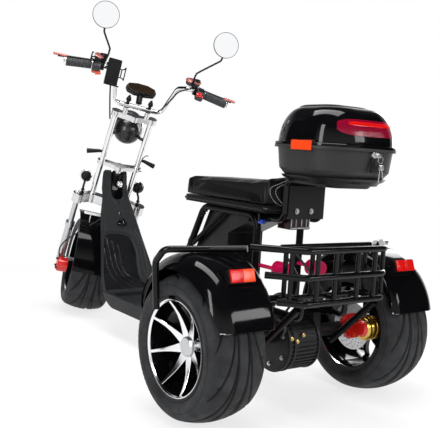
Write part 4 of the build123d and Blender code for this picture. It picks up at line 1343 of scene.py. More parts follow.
dome = bmesh.new()
wall = 0.004
outer_rows = [box_ring(p.x, lid_foot + p.z) for p in lid_rows]
inner_rows = [box_ring(p.x + wall, lid_foot + max(p.z - wall, 0.0)) for p in reversed(lid_rows)]
lip_rows = [
    box_ring(0.003, lid_foot), box_ring(-0.0055, lid_foot), box_ring(-0.007, lid_foot + 0.0015),
    box_ring(-0.007, lid_foot + 0.007), box_ring(-0.0055, lid_foot + 0.0085),
    box_ring(0.0005, lid_foot + 0.0095),
]
foot_rows = [*lip_rows, *[ring for ring, p in zip(outer_rows, lid_rows) if p.z > 0.01]]
rings = skinned(dome, foot_rows)
dome.faces.new(rings[-1])
inside = skinned(dome, [inner_rows[-1], *list(reversed(inner_rows))[1:]])
dome.faces.new(list(reversed(inside[-1])))
for n in range(len(rings[0])):
    after = (n + 1) % len(rings[0])
    dome.faces.new((inside[0][n], inside[0][after], rings[0][after], rings[0][n]))
outward(dome)
bmesh.ops.triangulate(dome, faces=[f for f in dome.faces if len(f.verts) > 4])
finished("lid_shell", dome, gloss_black, "lid", 30, ("box_lid",))
print("lid rows", len(lid_rows), "height", round(lid_foot + lid_rows[-1].z, 4))


# %% Ridge pad on the lid
pad_rows = mm((72, 0), (74, 4), (80, 8.5), (90, 12), (105, 14.2), (130, 15))
pad_foot = lid_foot + 0.118
stacked("lid_pad", [
    [p + Vector((0, 0.016, 0)) for p in box_ring(inset, pad_foot + rise)]
    for inset, rise in pad_rows
], smooth_plastic, "lid", 40)


# %% Lens across the back of the lid
def lid_inset(height):
    """Inset of the dome at a height above its foot."""
    for a, b in zip(lid_rows, lid_rows[1:]):
        if a.z <= height <= b.z:
            return a.x + (b.x - a.x) * (height - a.z) / max(b.z - a.z, 1e-9)
    return lid_rows[-1].x


def lid_patch(name, low, high, reach, material, proud, thick, taper, rows=7):
    """Curved band on the back of the dome, between two heights above its foot."""
    bm = bmesh.new()
    sample = box_ring(lid_inset((low + high) / 2), 0.0)
    chosen = [n for n, p in enumerate(sample) if abs(p.x) <= reach and p.y < box_centre_y - 0.02]
    chosen.sort(key=lambda n: sample[n].x)
    grids = []
    for depth in (proud, proud - thick):
        grid = []
        for row in range(rows):
            share = row / (rows - 1)
            line = []
            for n in chosen:
                end = max(0.0, abs(sample[n].x) / reach)
                squeeze = (1 - end ** taper) ** 0.5
                middle = low + (high - low) * 0.62
                height = middle + (low + (high - low) * share - middle) * max(squeeze, 0.02)
                edge = min(share, 1 - share) * (rows - 1)
                round_off = 0.0008 if edge < 0.5 else 0.0
                line.append(bm.verts.new(box_ring(
                    lid_inset(height), lid_foot + height, depth - round_off
                )[n]))
            grid.append(line)
        grids.append(grid)
    front, back = grids
    for grid in grids:
        for a, b in zip(grid, grid[1:]):
            for n in range(len(chosen) - 1):
                bm.faces.new((a[n], a[n + 1], b[n + 1], b[n]))
    last = len(chosen) - 1
    for row in (0, rows - 1):
        for n in range(last):
            bm.faces.new((front[row][n], front[row][n + 1], back[row][n + 1], back[row][n]))
    for column in (0, last):
        for row in range(rows - 1):
            bm.faces.new((front[row][column], front[row + 1][column],
                          back[row + 1][column], back[row][column]))
    outward(bm)
    return finished(name, bm, material, "lid", 50)


lid_patch("lid_lens", 0.036, 0.086, 0.128, deep_red_lens, 0.0022, 0.006, 6)
lid_patch("lid_lens_strip", 0.066, 0.079, 0.098, red_lens, 0.0036, 0.004, 8, 5)


# %% Reflectors, hinges and latch of the box
def outline_band(name, first, last, low, high, proud, thick, material, body, side):
    """Band along the lip between two stations on one side of the box."""
    bm = bmesh.new()
    ring = box_ring(0.0, 0.0, proud)
    back = box_ring(0.0, 0.0, proud - thick)
    chosen = [n for n, p in enumerate(ring)
              if p.x * side > 0 and first <= p.y - axle_y <= last]
    chosen.sort(key=lambda n: ring[n].y)
    lines = []
    for source, heights in ((ring, (low + 0.0015, high - 0.0015)), (back, (low, high))):
        for height in heights:
            lines.append([bm.verts.new((source[n].x, source[n].y, height)) for n in chosen])
    a, b, c, d = lines
    for one, two in ((a, b), (b, d), (d, c), (c, a)):
        for n in range(len(chosen) - 1):
            bm.faces.new((one[n], one[n + 1], two[n + 1], two[n]))
    for n in (0, len(chosen) - 1):
        bm.faces.new((a[n], b[n], d[n], c[n]))
    outward(bm)
    return finished(name, bm, material, body, 30)


for side, word in ((-1, "left"), (1, "right")):
    outline_band(f"{word}_box_reflector", -0.24, -0.15, lid_foot - 0.016, lid_foot + 0.014,
                 0.0115, 0.004, orange_lens, "lid", side)
    outline_band(f"{word}_box_reflector_back", -0.246, -0.144,
                 lid_foot + 0.0005, lid_foot + 0.017,
                 0.0078, 0.004, smooth_plastic, "lid", side)

back_y = box_centre_y - box_half_y + 0.005
lock = turned(square_place((0.0, back_y - 0.004, lid_foot - 0.018), (1, 0, 0), (0, -1, 0)), mm(
    (0, 7.5), (6.2, 7.5), (8, 6.2), (10.5, 6), (11.2, 4.5), (11.2, -6), (0, -6),
), 28)
finished("box_lock", outward(lock), steel, "chassis", 30)
flap = bmesh.new()
hinge = Matrix.Translation((0, back_y - 0.0045, lid_foot + 0.001))
block(flap, hinge, (0.05, 0.012, 0.013), 0.003)
tongue = Matrix.Translation((-0.004, back_y - 0.0065, lid_foot - 0.052))
block(flap, tongue @ Matrix.Rotation(radians(8), 4, "Y"), (0.013, 0.005, 0.044), 0.002)
finished("box_latch", flap, smooth_plastic, "chassis", 30)

keys = bmesh.new()
ring_middle = Vector((0.03, back_y - 0.0075, lid_foot - 0.022))
key_ring = [
    ring_middle + Vector((0.011 * cos(turn), 0.0008 * sin(turn * 2), 0.011 * sin(turn) - 0.01))
    for turn in (tau * n / 20 for n in range(21))
]
along_line(keys, key_ring, 0.0008, 6)
for number, lean in enumerate((6, -14)):
    hang = shifted(Matrix.Translation(ring_middle), 0.002, -0.002 * number, -0.022)
    hang = hang @ Matrix.Rotation(radians(lean), 4, "Y")
    block(keys, shifted(hang, 0, 0, -0.013), (0.015, 0.002, 0.018), 0.003)
    block(keys, shifted(hang, 0, 0, -0.042), (0.0045, 0.0016, 0.036), 0.0005)
tag = Matrix.Translation((0.016, back_y - 0.0105, lid_foot - 0.02))
block(keys, tag, (0.022, 0.0025, 0.014), 0.002)
finished("box_keys", keys, steel, "chassis", 30)
screws("rack_screws", [
    (at(x, -0.0445, 0.672), (0, -1, 0)) for x in (-0.045, 0.02)
], "chassis", steel, 0.0058, 0.005, 0.0095)

# %% Foot of the box on its rack
bin_low, rack_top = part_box("box_bin")[0][2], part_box("box_rack")[1][2]
foot_rows = [
    (0.02, bin_low + 0.01), (0.026, bin_low + 0.002), (0.04, bin_low - 0.004),
    (0.046, min(rack_top - 0.006, bin_low - 0.012)),
]
stacked("bin_foot", [box_ring(inset, height) for inset, height in foot_rows],
        smooth_plastic, "chassis", 40)
print("top box dressed")

# %% [markdown]
# ## Handlebar and mirrors
# The bar carries small coloured parts that the eye finds at once: thin black stems under white
# mirrors, red caps and lever tips, an orange switch. The solid model has only their volumes.
# They could be coloured as whole nodes, but then a mirror's glass and its stem would match. So the
# mirrors are rebuilt from lines and turned profiles in the fork's own directions.

# %% Places on the fork
def facing(point, direction):
    """Matrix at a point whose z axis looks along a direction."""
    direction = Vector(direction).normalized()
    return square_place(point, direction.orthogonal(), direction)


def fork_way(x, forward, up):
    """Direction given in the fork's own directions."""
    return fork_place.to_3x3() @ Vector((x, forward, up))


def fork_square(point, z_way):
    """Matrix at a point of the fork, x across, z along the way given in its directions."""
    return square_place(on_fork(*point), fork_way(1, 0, 0), fork_way(*z_way))


def fork_line(*points):
    """Smooth line through points given in the fork's own directions."""
    return smooth_line([on_fork(*p) for p in points])


lamp_turn = acos(fork_across.x)
ahead = Vector((sin(lamp_turn), cos(lamp_turn), 0))
grip_start, grip_end = (0.188, -0.064, 0.55), (0.38, -0.073, 0.524)


def on_grip(side, x):
    """Point on the straight outer run of the bar, at a reach from its middle."""
    share = (x - grip_start[0]) / (grip_end[0] - grip_start[0])
    reach, forward, up = (a + (b - a) * share for a, b in zip(grip_start, grip_end))
    return on_fork(side * reach, forward, up)


# %% Mirrors
mirror_runs = (
    # side, points from the clamp to the glass, middle of the glass
    (-1, mm(
        (-212, -66, 575), (-205.5, -82, 602), (-204.5, -83, 630), (-207.5, -83, 642),
        (-240, -80, 691), (-247.3, -80, 705), (-249, -78, 722),
    ),
     (-0.258, -0.086, 0.776)),
    (1, mm(
        (196, -66, 580), (190, -82, 602), (191.5, -83, 628), (200, -83, 643), (268, -80, 709),
        (278.8, -80, 720.5), (282, -78, 742),
    ),
     (0.2765, -0.086, 0.796)),
)
mirror_radius = 0.0565
stems, glasses, rims = bmesh.new(), bmesh.new(), bmesh.new()
for side, run, middle in mirror_runs:
    stem_points = fork_line(*run)
    along_line(stems, stem_points, 0.0042, 12)
    turned(facing(stem_points[0], stem_points[1] - stem_points[0]), mm(
        (0, -4), (9, -4), (9, 6), (6.5, 10), (4.5, 16), (0, 16),
    ), 16, bm=stems)
    face = facing(on_fork(*middle), ahead * -1)
    turned(face, [
        (0, 0.001), (mirror_radius - 0.002, 0.0004), (mirror_radius - 0.0018, -0.002), (0, -0.002),
    ], 72, bm=glasses)
    turned(face, [
        (mirror_radius - 0.002, 0.0018), (mirror_radius - 0.0004, 0.0022), (mirror_radius, 0.0008),
        (mirror_radius, -0.006), (mirror_radius - 0.006, -0.0105), (0.02, -0.013), (0, -0.0132),
        (0, -0.003), (mirror_radius - 0.002, -0.003), (mirror_radius - 0.002, 0.0018),
    ], 72, bm=rims)
finished("mirror_stems", outward(stems), smooth_plastic, "fork", 40, ("mirrors",))
finished("mirror_glasses", outward(glasses), mirror_glass, "fork", 30)
finished("mirror_shells", outward(rims), smooth_plastic, "fork", 40)

# %% Caps, switches, levers and grips
caps, red_parts, switch_orange, dark_parts, bright = (bmesh.new() for _ in range(5))
for side in (-1, 1):
    middle, wide, deep = (0.2, -0.044, 0.582), 0.037, 0.022
    if side < 0:
        middle, wide, deep = (-0.234, -0.044, 0.58), 0.0235, 0.0225
    cap_place = fork_square(middle, (0, -0.16, 0.99))
    oval = cap_place @ Matrix.Diagonal((wide, deep, 1, 1))
    turned(oval, [
        (0, -0.019), (0.8, -0.019), (0.9, -0.012), (0.93, 0.0), (0, 0.0),
    ], 40, bm=dark_parts)
    turned(oval, [
        (0, 0.0062), (0.62, 0.006), (0.7, 0.0046), (0.8, 0.0046), (0.88, 0.0058), (0.97, 0.005),
        (1.0, 0.003), (1.0, 0.0), (0, 0.0),
    ], 48, bm=caps)
    for cx in (-0.6, 0.6):
        turned(shifted(cap_place, cx * wide, 0, 0.0058), mm(
            (0, 1.8), (2.6, 1.6), (3, 0), (0, 0),
        ), 12, bm=bright)
    lever = fork_line(
        (side * 0.232, -0.012, 0.546), (side * 0.262, -0.018, 0.546), (side * 0.31, -0.022, 0.541),
        (side * 0.366, -0.024, 0.535), (side * 0.422, -0.02, 0.53),
    )
    tip = int(len(lever) * 0.74)
    along_line(caps, lever[tip:], [0.0062 if n else 0.0056 for n in range(len(lever) - tip)], 14)
    turned(facing(lever[-1], lever[-1] - lever[-2]), mm(
        (0, 5.5), (4, 4.5), (6.5, 0), (4, -5), (0, -6),
    ), 16, bm=caps)
    # Ribs round the grip, and the bright ring at its end.
    inner, outer_end = on_grip(side, 0.262), on_grip(side, 0.369)
    along = outer_end - inner
    ribs = []
    for rib in range(27):
        share = rib / 27
        ribs += [
            (0.0172, share), (0.0181, share + 0.008), (0.0181, share + 0.024),
            (0.0172, share + 0.032),
        ]
    turned(facing(inner, along), [(r, s * along.length) for r, s in ribs], 28, bm=dark_parts)
    turned(facing(outer_end, along), mm(
        (0, 0), (17.5, 0), (18.5, 1), (18.5, 8), (16.5, 10.5), (12, 11.5), (0, 11.5),
    ), 32, bm=bright)
    turned(facing(on_grip(side, 0.2565), along), mm(
        (18.2, 0), (19, 0.8), (19, 4), (18.2, 5), (12, 5), (12, 0), (18.2, 0),
    ), 32, bm=bright)
    # Switch housing behind the grip, seen from the seat.
    house = square_place(on_grip(side, 0.24), along, fork_way(0, -0.94, -0.35))
    block(dark_parts, shifted(house, 0, 0, 0.014), (0.036, 0.044, 0.028), 0.006)
    block(dark_parts, shifted(house, 0, -0.004 * side, 0.029), (0.026, 0.03, 0.006), 0.002)
    switch = shifted(house, -0.01, 0.014, 0.029) @ Matrix.Rotation(radians(14), 4, "Z")
    block(switch_orange if side < 0 else red_parts, switch, (0.026, 0.016, 0.013), 0.004)
    turned(shifted(house, 0.008, 0.01, 0.03), mm(
        (0, 6), (4.5, 5.5), (5.5, 4), (5.5, 0), (0, 0),
    ), 16, bm=switch_orange if side < 0 else red_parts)
finished("reservoir_caps", outward(caps), red_anodised, "fork", 30)
finished("kill_switch", outward(red_parts), red_paint, "fork", 40)
finished("lamp_switch", outward(switch_orange), orange_button, "fork", 40)
finished("switch_housings", outward(dark_parts), grip_rubber, "fork", 30)
finished("bar_ends", outward(bright), chrome, "fork", 30)

# %% Knobs on the two risers
knobs = bmesh.new()
for side in (-1, 1):
    turned(fork_square((side * 0.052, -0.006, 0.386), (0, 0, 1)), mm(
        (0, 0), (7.5, 0), (7.5, 12), (11.5, 14), (12.5, 18), (11, 26), (7, 34), (4.5, 40), (0, 42),
    ), 24, bm=knobs)
finished("bar_knobs", outward(knobs), smooth_plastic, "fork", 40)

# %% Phone plate, hook and display
phone_place = fork_square((-0.167, -0.092, 0.544), (0, -0.94, 0.34))
claws = bmesh.new()
for line in (
    mm((26, 18, 6), (40, 18, 8), (46, 22, 16), (50, 30, 22)),
    mm((26, -18, 6), (40, -18, 8), (46, -20, 16), (50, -26, 22)),
    mm((50, 31, 22), (50, -27, 22)),
    mm((36, 16, 8), (36, -16, 8)),
    mm((-26, 30, 6), (-34, 30, 10), (-34, 30, 24)),
    mm((-34, 34, 24), (-34, 10, 24)),
):
    along_line(claws, on_place(phone_place, *line), 0.0026, 10)
for middle, size, edge in (
    ((0.004, -0.058, 0.012), (0.066, 0.006, 0.026), 0.002),
    ((0.004, -0.052, 0.023), (0.03, 0.012, 0.004), 0.001),
    ((-0.004, 0.006, 0.0125), (0.044, 0.086, 0.002), 0.0008),
):
    block(claws, shifted(phone_place, *middle), size, edge)
for x, y in mm((-18, 44), (10, 44), (-18, -30), (10, -30)):
    turned(shifted(phone_place, x, y, 0.0125), mm((0, 2), (3, 1.8), (3.5, 0), (0, 0)), 12, bm=claws)
finished("phone_claws", outward(claws), smooth_plastic, "fork", 40)

hook = bmesh.new()
for line in (
    mm((-246, -70, 560), (-258, -86, 572), (-272, -94, 578)),
    mm((-272, -94, 560), (-272, -94, 602), (-266, -94, 606)),
    mm((-272, -94, 584), (-250, -94, 590), (-244, -94, 582), (-244, -92, 566)),
):
    along_line(hook, fork_line(*line), 0.003, 10)
finished("bag_hook", outward(hook), smooth_plastic, "fork", 40)

dial_place = fork_square((0, 0.058, 0.428), (0, -0.45, 0.9))
dial_outline = mm(
    (-72, 4), (-62, 20), (-20, 30), (30, 29), (64, 16), (72, -4), (62, -20), (18, -29), (-34, -28),
    (-64, -16),
)
dial = bmesh.new()
for rings, number in (
    # share of the outline and rise of each ring, first the case, then its glass
    (((1, 0.0), (1, 0.02), (0.985, 0.0245), (0.955, 0.026), (0.93, 0.0262)), 0),
    (((0.925, 0.0262), (0.915, 0.0268), (0.1, 0.0276)), 1),
):
    made = skinned(dial, [
        on_place(dial_place, *((x * scale, y * scale, rise) for x, y in dial_outline))
        for scale, rise in rings
    ], number)
    dial.faces.new(made[-1]).material_index = number
    if not number:
        dial.faces.new(list(reversed(made[0])))
stalk = on_fork(0, 0.008, 0.393)
rod(dial, stalk, on_fork(0, 0.052, 0.43), 0.0145, 24)
finished("display_case", dial, [smooth_plastic, dark_glass], "fork", 40, ("display",))

# %% [markdown]
# ## Lamps on the fork
# The headlamp is a spun bowl in satin black with a wide bright ring, and the fog lamps are small
# chrome drums. Each could stay a solid of one colour, but its ring, glass and bowl are three
# finishes that meet at exact circles. One profile spun about the lamp's axis gives all three.

# %% Headlamp and fog lamps
lamp_place = fork_square((0, 0.091, 0.212), (0.1, 1.0, 0.0))
bowl = turned(lamp_place, [
    (0.066 * sin(pi / 2 * n / 20), -0.066 * cos(pi / 2 * n / 20)) for n in range(21)
] + [(0.0672, 0.006), (0.0705, 0.016)], 96)
arms = [
    ((side * 0.0717, 0.0228, 0.212), (side * 0.06, 0.03, 0.212), (side * 0.05, 0.06, 0.212))
    for side in (-1, 1)
]
for line in arms:
    along_line(bowl, fork_line(*line), 0.0075, 16)
finished("headlamp_bowl", bowl, headlamp_black, "fork", 40, ("headlamp",))
ring = turned(lamp_place, mm(
    (70, 14), (73.5, 18), (79, 30), (81.8, 42), (82.2, 54), (81.2, 62), (78.5, 65.2), (75.5, 63.5),
    (74.5, 56), (70, 30), (70, 14),
), 96)
finished("headlamp_ring", outward(ring), cut_silver, "fork", 40)
glass = turned(lamp_place, mm(
    (75, 56), (60, 61.5), (40, 64.5), (20, 65.8), (0, 66.2), (0, 50), (74, 50), (75, 56),
), 72)
finished("headlamp_glass", outward(glass), clear_glass, "fork", 40)
slits = bmesh.new()
for number in range(5):
    turn = radians(-16 + 8 * number)
    for height in (0.05, 0.0575):
        rise = -0.066 * 0.62 + (height - 0.05) * 1.4
        middle = Vector((height * sin(turn) * 0.9, -height * 0.93, rise))
        block(slits, lamp_place @ Matrix.Translation(middle), (0.0058, 0.0016, 0.0022), 0.0004)
finished("headlamp_slits", slits, chrome, "fork", 40)

fog_body, fog_ring, fog_glass, fog_brackets = (bmesh.new() for _ in range(4))
fog_top = -0.1519 + 0.0233                # top of the lugs that hold the brackets, on the fork
for side in (-1, 1):
    middle = on_fork(side * 0.132, 0.071, fog_top + 0.059)
    place = square_place(middle, fork_way(1, 0, 0), ahead)
    turned(place, mm(
        (0, -24.5), (10, -24), (18, -21.5), (23.5, -16), (26.2, -8), (27, 2), (27.5, 10), (0, 10),
    ), 48, bm=fog_body)
    for rib in range(3):
        turned(shifted(place, 0, 0, -0.01 + rib * 0.006), mm(
            (24.5, 0), (29, 0.4), (29, 2), (24.5, 2.4), (24.5, 0),
        ), 40, bm=fog_ring)
    turned(place, mm(
        (27, 8), (30.5, 10), (31, 24), (29.5, 27.5), (27, 26.5), (26.2, 20), (27, 8),
    ), 48, bm=fog_ring)
    turned(place, mm((0, 23.5), (15, 23), (26.5, 21), (26.5, 16), (0, 16)), 40, bm=fog_glass)
    foot = fog_top
    along_line(fog_brackets, fork_line(*(
        (side * reach, forward, foot + lift) for reach, forward, lift in mm(
            (139, -7.4, 0), (139, -7, 20), (138.5, 10, 34), (134.5, 40, 40), (132, 60, 46)
        )
    )), 0.0055, 14)
    for lift in (0.003, 0.02):
        turned(fork_square((side * 0.139, -0.0074, foot + lift), (0, 0, 1)), mm(
            (0, 6), (8.5, 6), (9.5, 5), (9.5, 0), (0, 0),
        ), 6 if lift > 0.01 else 24, bm=fog_brackets)
finished("fog_lamp_bodies", outward(fog_body), smooth_plastic, "fork", 40,
         ("fog_lamps",))
finished("fog_lamp_rings", outward(fog_ring), chrome, "fork", 40)
finished("fog_lamp_glasses", outward(fog_glass), clear_glass, "fork", 40)
finished("fog_lamp_brackets", outward(fog_brackets), smooth_plastic, "fork", 40)
print("handlebar and lamps dressed")

# %% [markdown]
# ## Leg shield
# The shield is a moulding: a raised border, a sunk well with ribs that turn along the floor, and a
# key switch in its slot. The solid shield has the outline and the lean but a flat face. Its mesh
# may not be moved, so a skin is laid over that face: rays find the face on a fine grid, and each
# point rises by a height that depends on how far it lies from the edge of the well.

# %% Moulded skin of the shield
shield_tree = solid_tree(nodes["leg_shield"])


def flat_line(line):
    """Smooth line on the shield through points of side offset and height, in metres."""
    return [(p.x, p.z) for p in smooth_line([(x, 0, z) for x, z in line], 5)]


well_edge = flat_line(mm(
    (-143, 170), (-143, 246), (-128, 340), (-103, 410), (-85, 430), (-52, 434), (0, 430), (36, 410),
    (54, 356), (50, 288), (50, 240), (72, 206), (110, 188), (140, 170),
))
well_ribs = [
    flat_line(line) for line in (
        mm((-112, 370), (-112, 300), (-98, 245), (-60, 205), (10, 180)),
        mm((-90, 410), (-87, 320), (-78, 262), (-45, 222), (30, 190)),
        mm((-64, 395), (-62, 320), (-56, 275), (-24, 236), (45, 200)),
        mm((-36, 378), (-36, 320), (-34, 280), (-8, 248), (50, 214)),
    )
]
border_ribs = [
    flat_line(line) for line in (
        mm((30, 444), (64, 415), (78, 352), (74, 280), (84, 240), (112, 206)),
        mm((62, 446), (86, 400), (96, 330), (96, 276), (106, 250), (134, 216)),
        mm((-63, 735), (-66, 690), (-47, 643), (-35, 606), (-6, 572), (20, 580), (45, 617)),
    )
]


def line_distance(x, z, line):
    """Least distance from a point to a broken line, both flat arrays of points."""
    best = np.full(len(x), 9.0)
    for (ax, az), (bx, bz) in zip(line, line[1:]):
        dx, dz = bx - ax, bz - az
        share = np.clip(((x - ax) * dx + (z - az) * dz) / (dx * dx + dz * dz), 0, 1)
        best = np.minimum(best, np.hypot(x - ax - dx * share, z - az - dz * share))
    return best


def inside_line(x, z, line):
    """True where a point lies inside a closed line."""
    held = np.zeros(len(x), bool)
    for (ax, az), (bx, bz) in zip(line, [*line[1:], line[0]]):
        cross = (az > z) != (bz > z)
        held ^= cross & (x < ax + (z - az) * (bx - ax) / (bz - az if bz != az else 1e-9))
    return held


skin_x, skin_z = np.linspace(-0.152, 0.152, 123), np.linspace(0.19, 0.729, 166)
hits = {}
for row, z in enumerate(skin_z):
    for column, x in enumerate(skin_x):
        place, normal, _, _ = shield_tree.ray_cast(at(x, 0.7, z), Vector((0, 1, 0)))
        if place is not None and normal.y < -0.25:
            hits[row, column] = (place, normal)
found = list(hits)
flat_x = np.array([hits[k][0].x for k in found])
flat_z = np.array([hits[k][0].z for k in found])
edges = {}
for row, column in found:
    low, high = edges.get(row, (999, -1))
    edges[row] = (min(low, column), max(high, column))
step = skin_x[1] - skin_x[0]
rim = np.array([min(c - edges[r][0], edges[r][1] - c) * step for r, c in found])
gap = line_distance(flat_x, flat_z, well_edge[:-1])
sunk = inside_line(flat_x, flat_z, well_edge)
rise = np.clip(gap / 0.009, 0, 1)
rise = np.where(sunk, 0.0, rise * rise * (3 - 2 * rise))
fall = np.clip((rim + 0.001) / 0.007, 0, 1)
height = 0.0007 + 0.006 * rise * np.sqrt(1 - (1 - fall) ** 2)
for lines, share, wide in (
    (well_ribs, np.where(sunk, 0.0026, 0.0), 0.003), (border_ribs, 0.0024 * rise, 0.0042),
):
    for line in lines:
        height += share * np.exp(-(line_distance(flat_x, flat_z, line) / wide) ** 2)
skin = bmesh.new()
made = {
    key: skin.verts.new(hits[key][0] + hits[key][1] * float(h)) for key, h in zip(found, height)
}
dark = {key: bool(s) and g > 0.001 for key, s, g in zip(found, sunk, gap)}
for row, column in found:
    corners = [(row, column), (row, column + 1), (row + 1, column + 1), (row + 1, column)]
    if all(c in made for c in corners):
        stations = [made[c].co.y for c in corners]
        if max(stations) - min(stations) < 0.012:
            face = skin.faces.new([made[c] for c in corners])
            face.material_index = int(all(dark[c] for c in corners))
bmesh.ops.delete(skin, geom=[v for v in skin.verts if not v.link_faces], context="VERTS")
border = [e for e in skin.edges if len(e.link_faces) == 1]
walls = bmesh.ops.extrude_edge_only(skin, edges=border)["geom"]
for vert in (g for g in walls if isinstance(g, bmesh.types.BMVert)):
    vert.co.y += 0.006
bmesh.ops.recalc_face_normals(skin, faces=skin.faces)
finished("shield_skin", skin, [grained_plastic, well_plastic], "chassis", 50)
print("shield skin points", len(made))


def shield_face(x, z, proud):
    """Point on the shield's face and the way that the face looks."""
    place, normal, _, _ = shield_tree.ray_cast(at(x, 0.7, z), Vector((0, 1, 0)))
    return place + normal * proud, normal


# %% Key switch, screws and hook
plate = bmesh.new()
plate_rows = mm((590, 1294.5), (606, 1301.5), (640, 1311.5), (690, 1316.5), (722, 1314))
plate_half = 0.0315
across = np.linspace(-plate_half, plate_half, 13)
grid = [
    [plate.verts.new(at(x, p.y + 0.004 * (x / plate_half) ** 4, p.z)) for x in across]
    for p in smooth_line([(0, station, z) for z, station in plate_rows], 4)
]
for a, b in zip(grid, grid[1:]):
    for n in range(12):
        plate.faces.new((a[n], a[n + 1], b[n + 1], b[n]))
bmesh.ops.solidify(plate, geom=plate.faces[:], thickness=-0.004)
outward(plate)
finished("key_plate", plate, gloss_black, "chassis", 40)
key_place = square_place(at(0.012, 1.3105, 0.662), (1, 0, 0), (0, -1, 0.12))
key_switch = turned(key_place, mm(
    (0, 6), (7.5, 6), (8.5, 8), (12.5, 10), (15.5, 8.5), (16.5, 4), (16.5, -4), (0, -4),
), 40)
block(key_switch, shifted(key_place, 0, 0, 0.0075) @ Matrix.Rotation(radians(25), 4, "Z"),
      (0.003, 0.011, 0.003), 0.0005)
finished("key_switch", outward(key_switch), steel, "chassis", 40)
screws("shield_screws", [shield_face(0.001, z, 0.0062) for z in (0.568, 0.5215)],
       "chassis", chrome, 0.0042, 0.003, 0.0062)
hook_middle, hook_way = shield_face(0.001, 0.48, 0.0075)
hook_place = square_place(hook_middle, (1, 0, 0), hook_way)
hook_shape = bmesh.new()
for line, radius in (
    (mm(
        (-23, -11, 2), (-13, 6, 8), (2, 15, 11), (15, 7, 8), (25, -10, 2),
    ), [0.003, 0.0045, 0.006, 0.0045, 0.003]),
    (mm((-22, -11, 3), (1, -14, 10), (24, -11, 3)), 0.0036),
    (mm((1, 12, 6), (1, -4, 14), (1, -13, 10)), 0.004),
):
    along_line(hook_shape, on_place(hook_place, *line), radius, 12)
finished("bag_hook_low", hook_shape, gloss_black, "chassis", 50)
screws("hook_screws", [
    (hook_place @ Vector((x, -0.004, 0.002)), hook_way) for x in (-0.012, 0.013)
], "chassis", chrome, 0.003, 0.003, 0.0046)

# %% [markdown]
# ## Front wheel's brake and lines
# The caliper is a round cover with black bolts, and its hose climbs the fork leg and dives behind
# the shield. A straight hose would look like a rod, so it is a smooth line through eight places on
# the fork. The cables of the bar are made the same way.

# %% Caliper cover and hoses
cover_middle = (-0.1655, -0.0914, 0.009 - 0.5136)
cover_place = square_place(on_fork(*cover_middle), fork_way(0, 0, 1), fork_way(-1, 0, 0))
cover = turned(cover_place, mm(
    (0, 6), (8, 6), (9, 4), (19, 4.5), (24, 7), (31, 6), (34.5, 2), (35.5, -6), (35.5, -18),
    (0, -18),
), 56)
finished("caliper_cover", outward(cover), red_paint, "fork", 30)
screws("caliper_bolts", [
    (cover_place @ Vector((0.027 * cos(a), 0.027 * sin(a), 0.007)), fork_way(-1, 0, 0))
    for a in (radians(v) for v in (20, 140, 260))
] + [(cover_place @ Vector((x, 0.04, -0.002)), fork_way(-1, 0, 0)) for x in (-0.026, 0.028)],
       "fork", smooth_plastic, 0.0055, 0.006, 0.008)

hose = bmesh.new()
for radius, sides, line in (
    # the brake's hose, a lead behind the headlamp, and the two cables of the bar
    (0.0032, 10, mm(
        (-20, -62, -212), (-50, -70, -243), (-80, -74, -275), (-129, -72, -335), (-157, -70, -372),
        (-174, -70, -413), (-174, -74, -445), (-166, -82, -474),
    )),
    (0.0024, 8, mm(
        (116, -10, 150), (102, -30, 158), (88, -40, 142), (82, -44, 108), (88, -40, 78),
        (106, -18, 66),
    )),
    (0.0036, 10, mm(
        (214, -40, 560), (180, -85, 556), (140, -88, 530), (122, -80, 486), (104, -70, 440),
        (88, -56, 405), (60, -40, 385), (20, -34, 380),
    )),
    (0.0036, 10, mm(
        (-214, -34, 560), (-182, -60, 530), (-160, -50, 480), (-145, -36, 420), (-127, -28, 350),
        (-112, -24, 296),
    )),
):
    along_line(hose, fork_line(*line), radius, sides)
finished("fork_hoses", hose, cable_black, "fork", 50)

# %% [markdown]
# ## Blank plate over the front fender
# A small white plate on a bent bracket fills the gap between fork and shield. It carries no text
# here, and none belongs on it: it is only a white sheet with rounded edges.

# %% Plate and bracket
front_plate = block(
    bmesh.new(), fork_square((-0.066, -0.052, -0.204), (0, 0.1, 0.99)), (0.08, 0.024, 0.003), 0.001
)
finished("blank_front_plate", front_plate, blank_plate, "fork", 40)
bracket = bmesh.new()
along_line(bracket, fork_line(*mm(
    (-70, -46, -196), (-72, -52, -225), (-70, -56, -262), (-68, -58, -290)
)), 0.0022, 8)
finished("front_plate_bracket", bracket, chrome, "fork", 40)

# %% [markdown]
# ## Rear lamps and fender edges
# The fender lamps are two lenses in one body, red outside and orange inside on the left. They could
# be two nodes of the solid model, but the seam between them is only a line of colour. Each lens is
# a block with a rounded edge, set on the same tilted plane as the solid lamp.

# %% Fender lamps
lamp_lenses, lamp_amber, lamp_bases = bmesh.new(), bmesh.new(), bmesh.new()
for side in (-1, 1):
    lamp_face = square_place(at(side * 0.366, -0.17, 0.49), (1, 0, 0), (0, -1, 0.35))
    block(lamp_bases, shifted(lamp_face, 0, 0, -0.004), (0.096, 0.044, 0.026), 0.003)
    inner = lamp_amber if side < 0 else lamp_lenses
    for shift, target in ((side * 0.0228, lamp_lenses), (side * -0.0228, inner)):
        block(target, shifted(lamp_face, shift, 0, 0.007), (0.0448, 0.0395, 0.014), 0.0022)
finished("fender_lamp_bases", lamp_bases, smooth_plastic, "chassis", 30,
         ("fender_lamps",))
finished("fender_lamp_red", lamp_lenses, red_lens, "chassis", 30)
finished("fender_lamp_amber", lamp_amber, orange_lens, "chassis", 30)
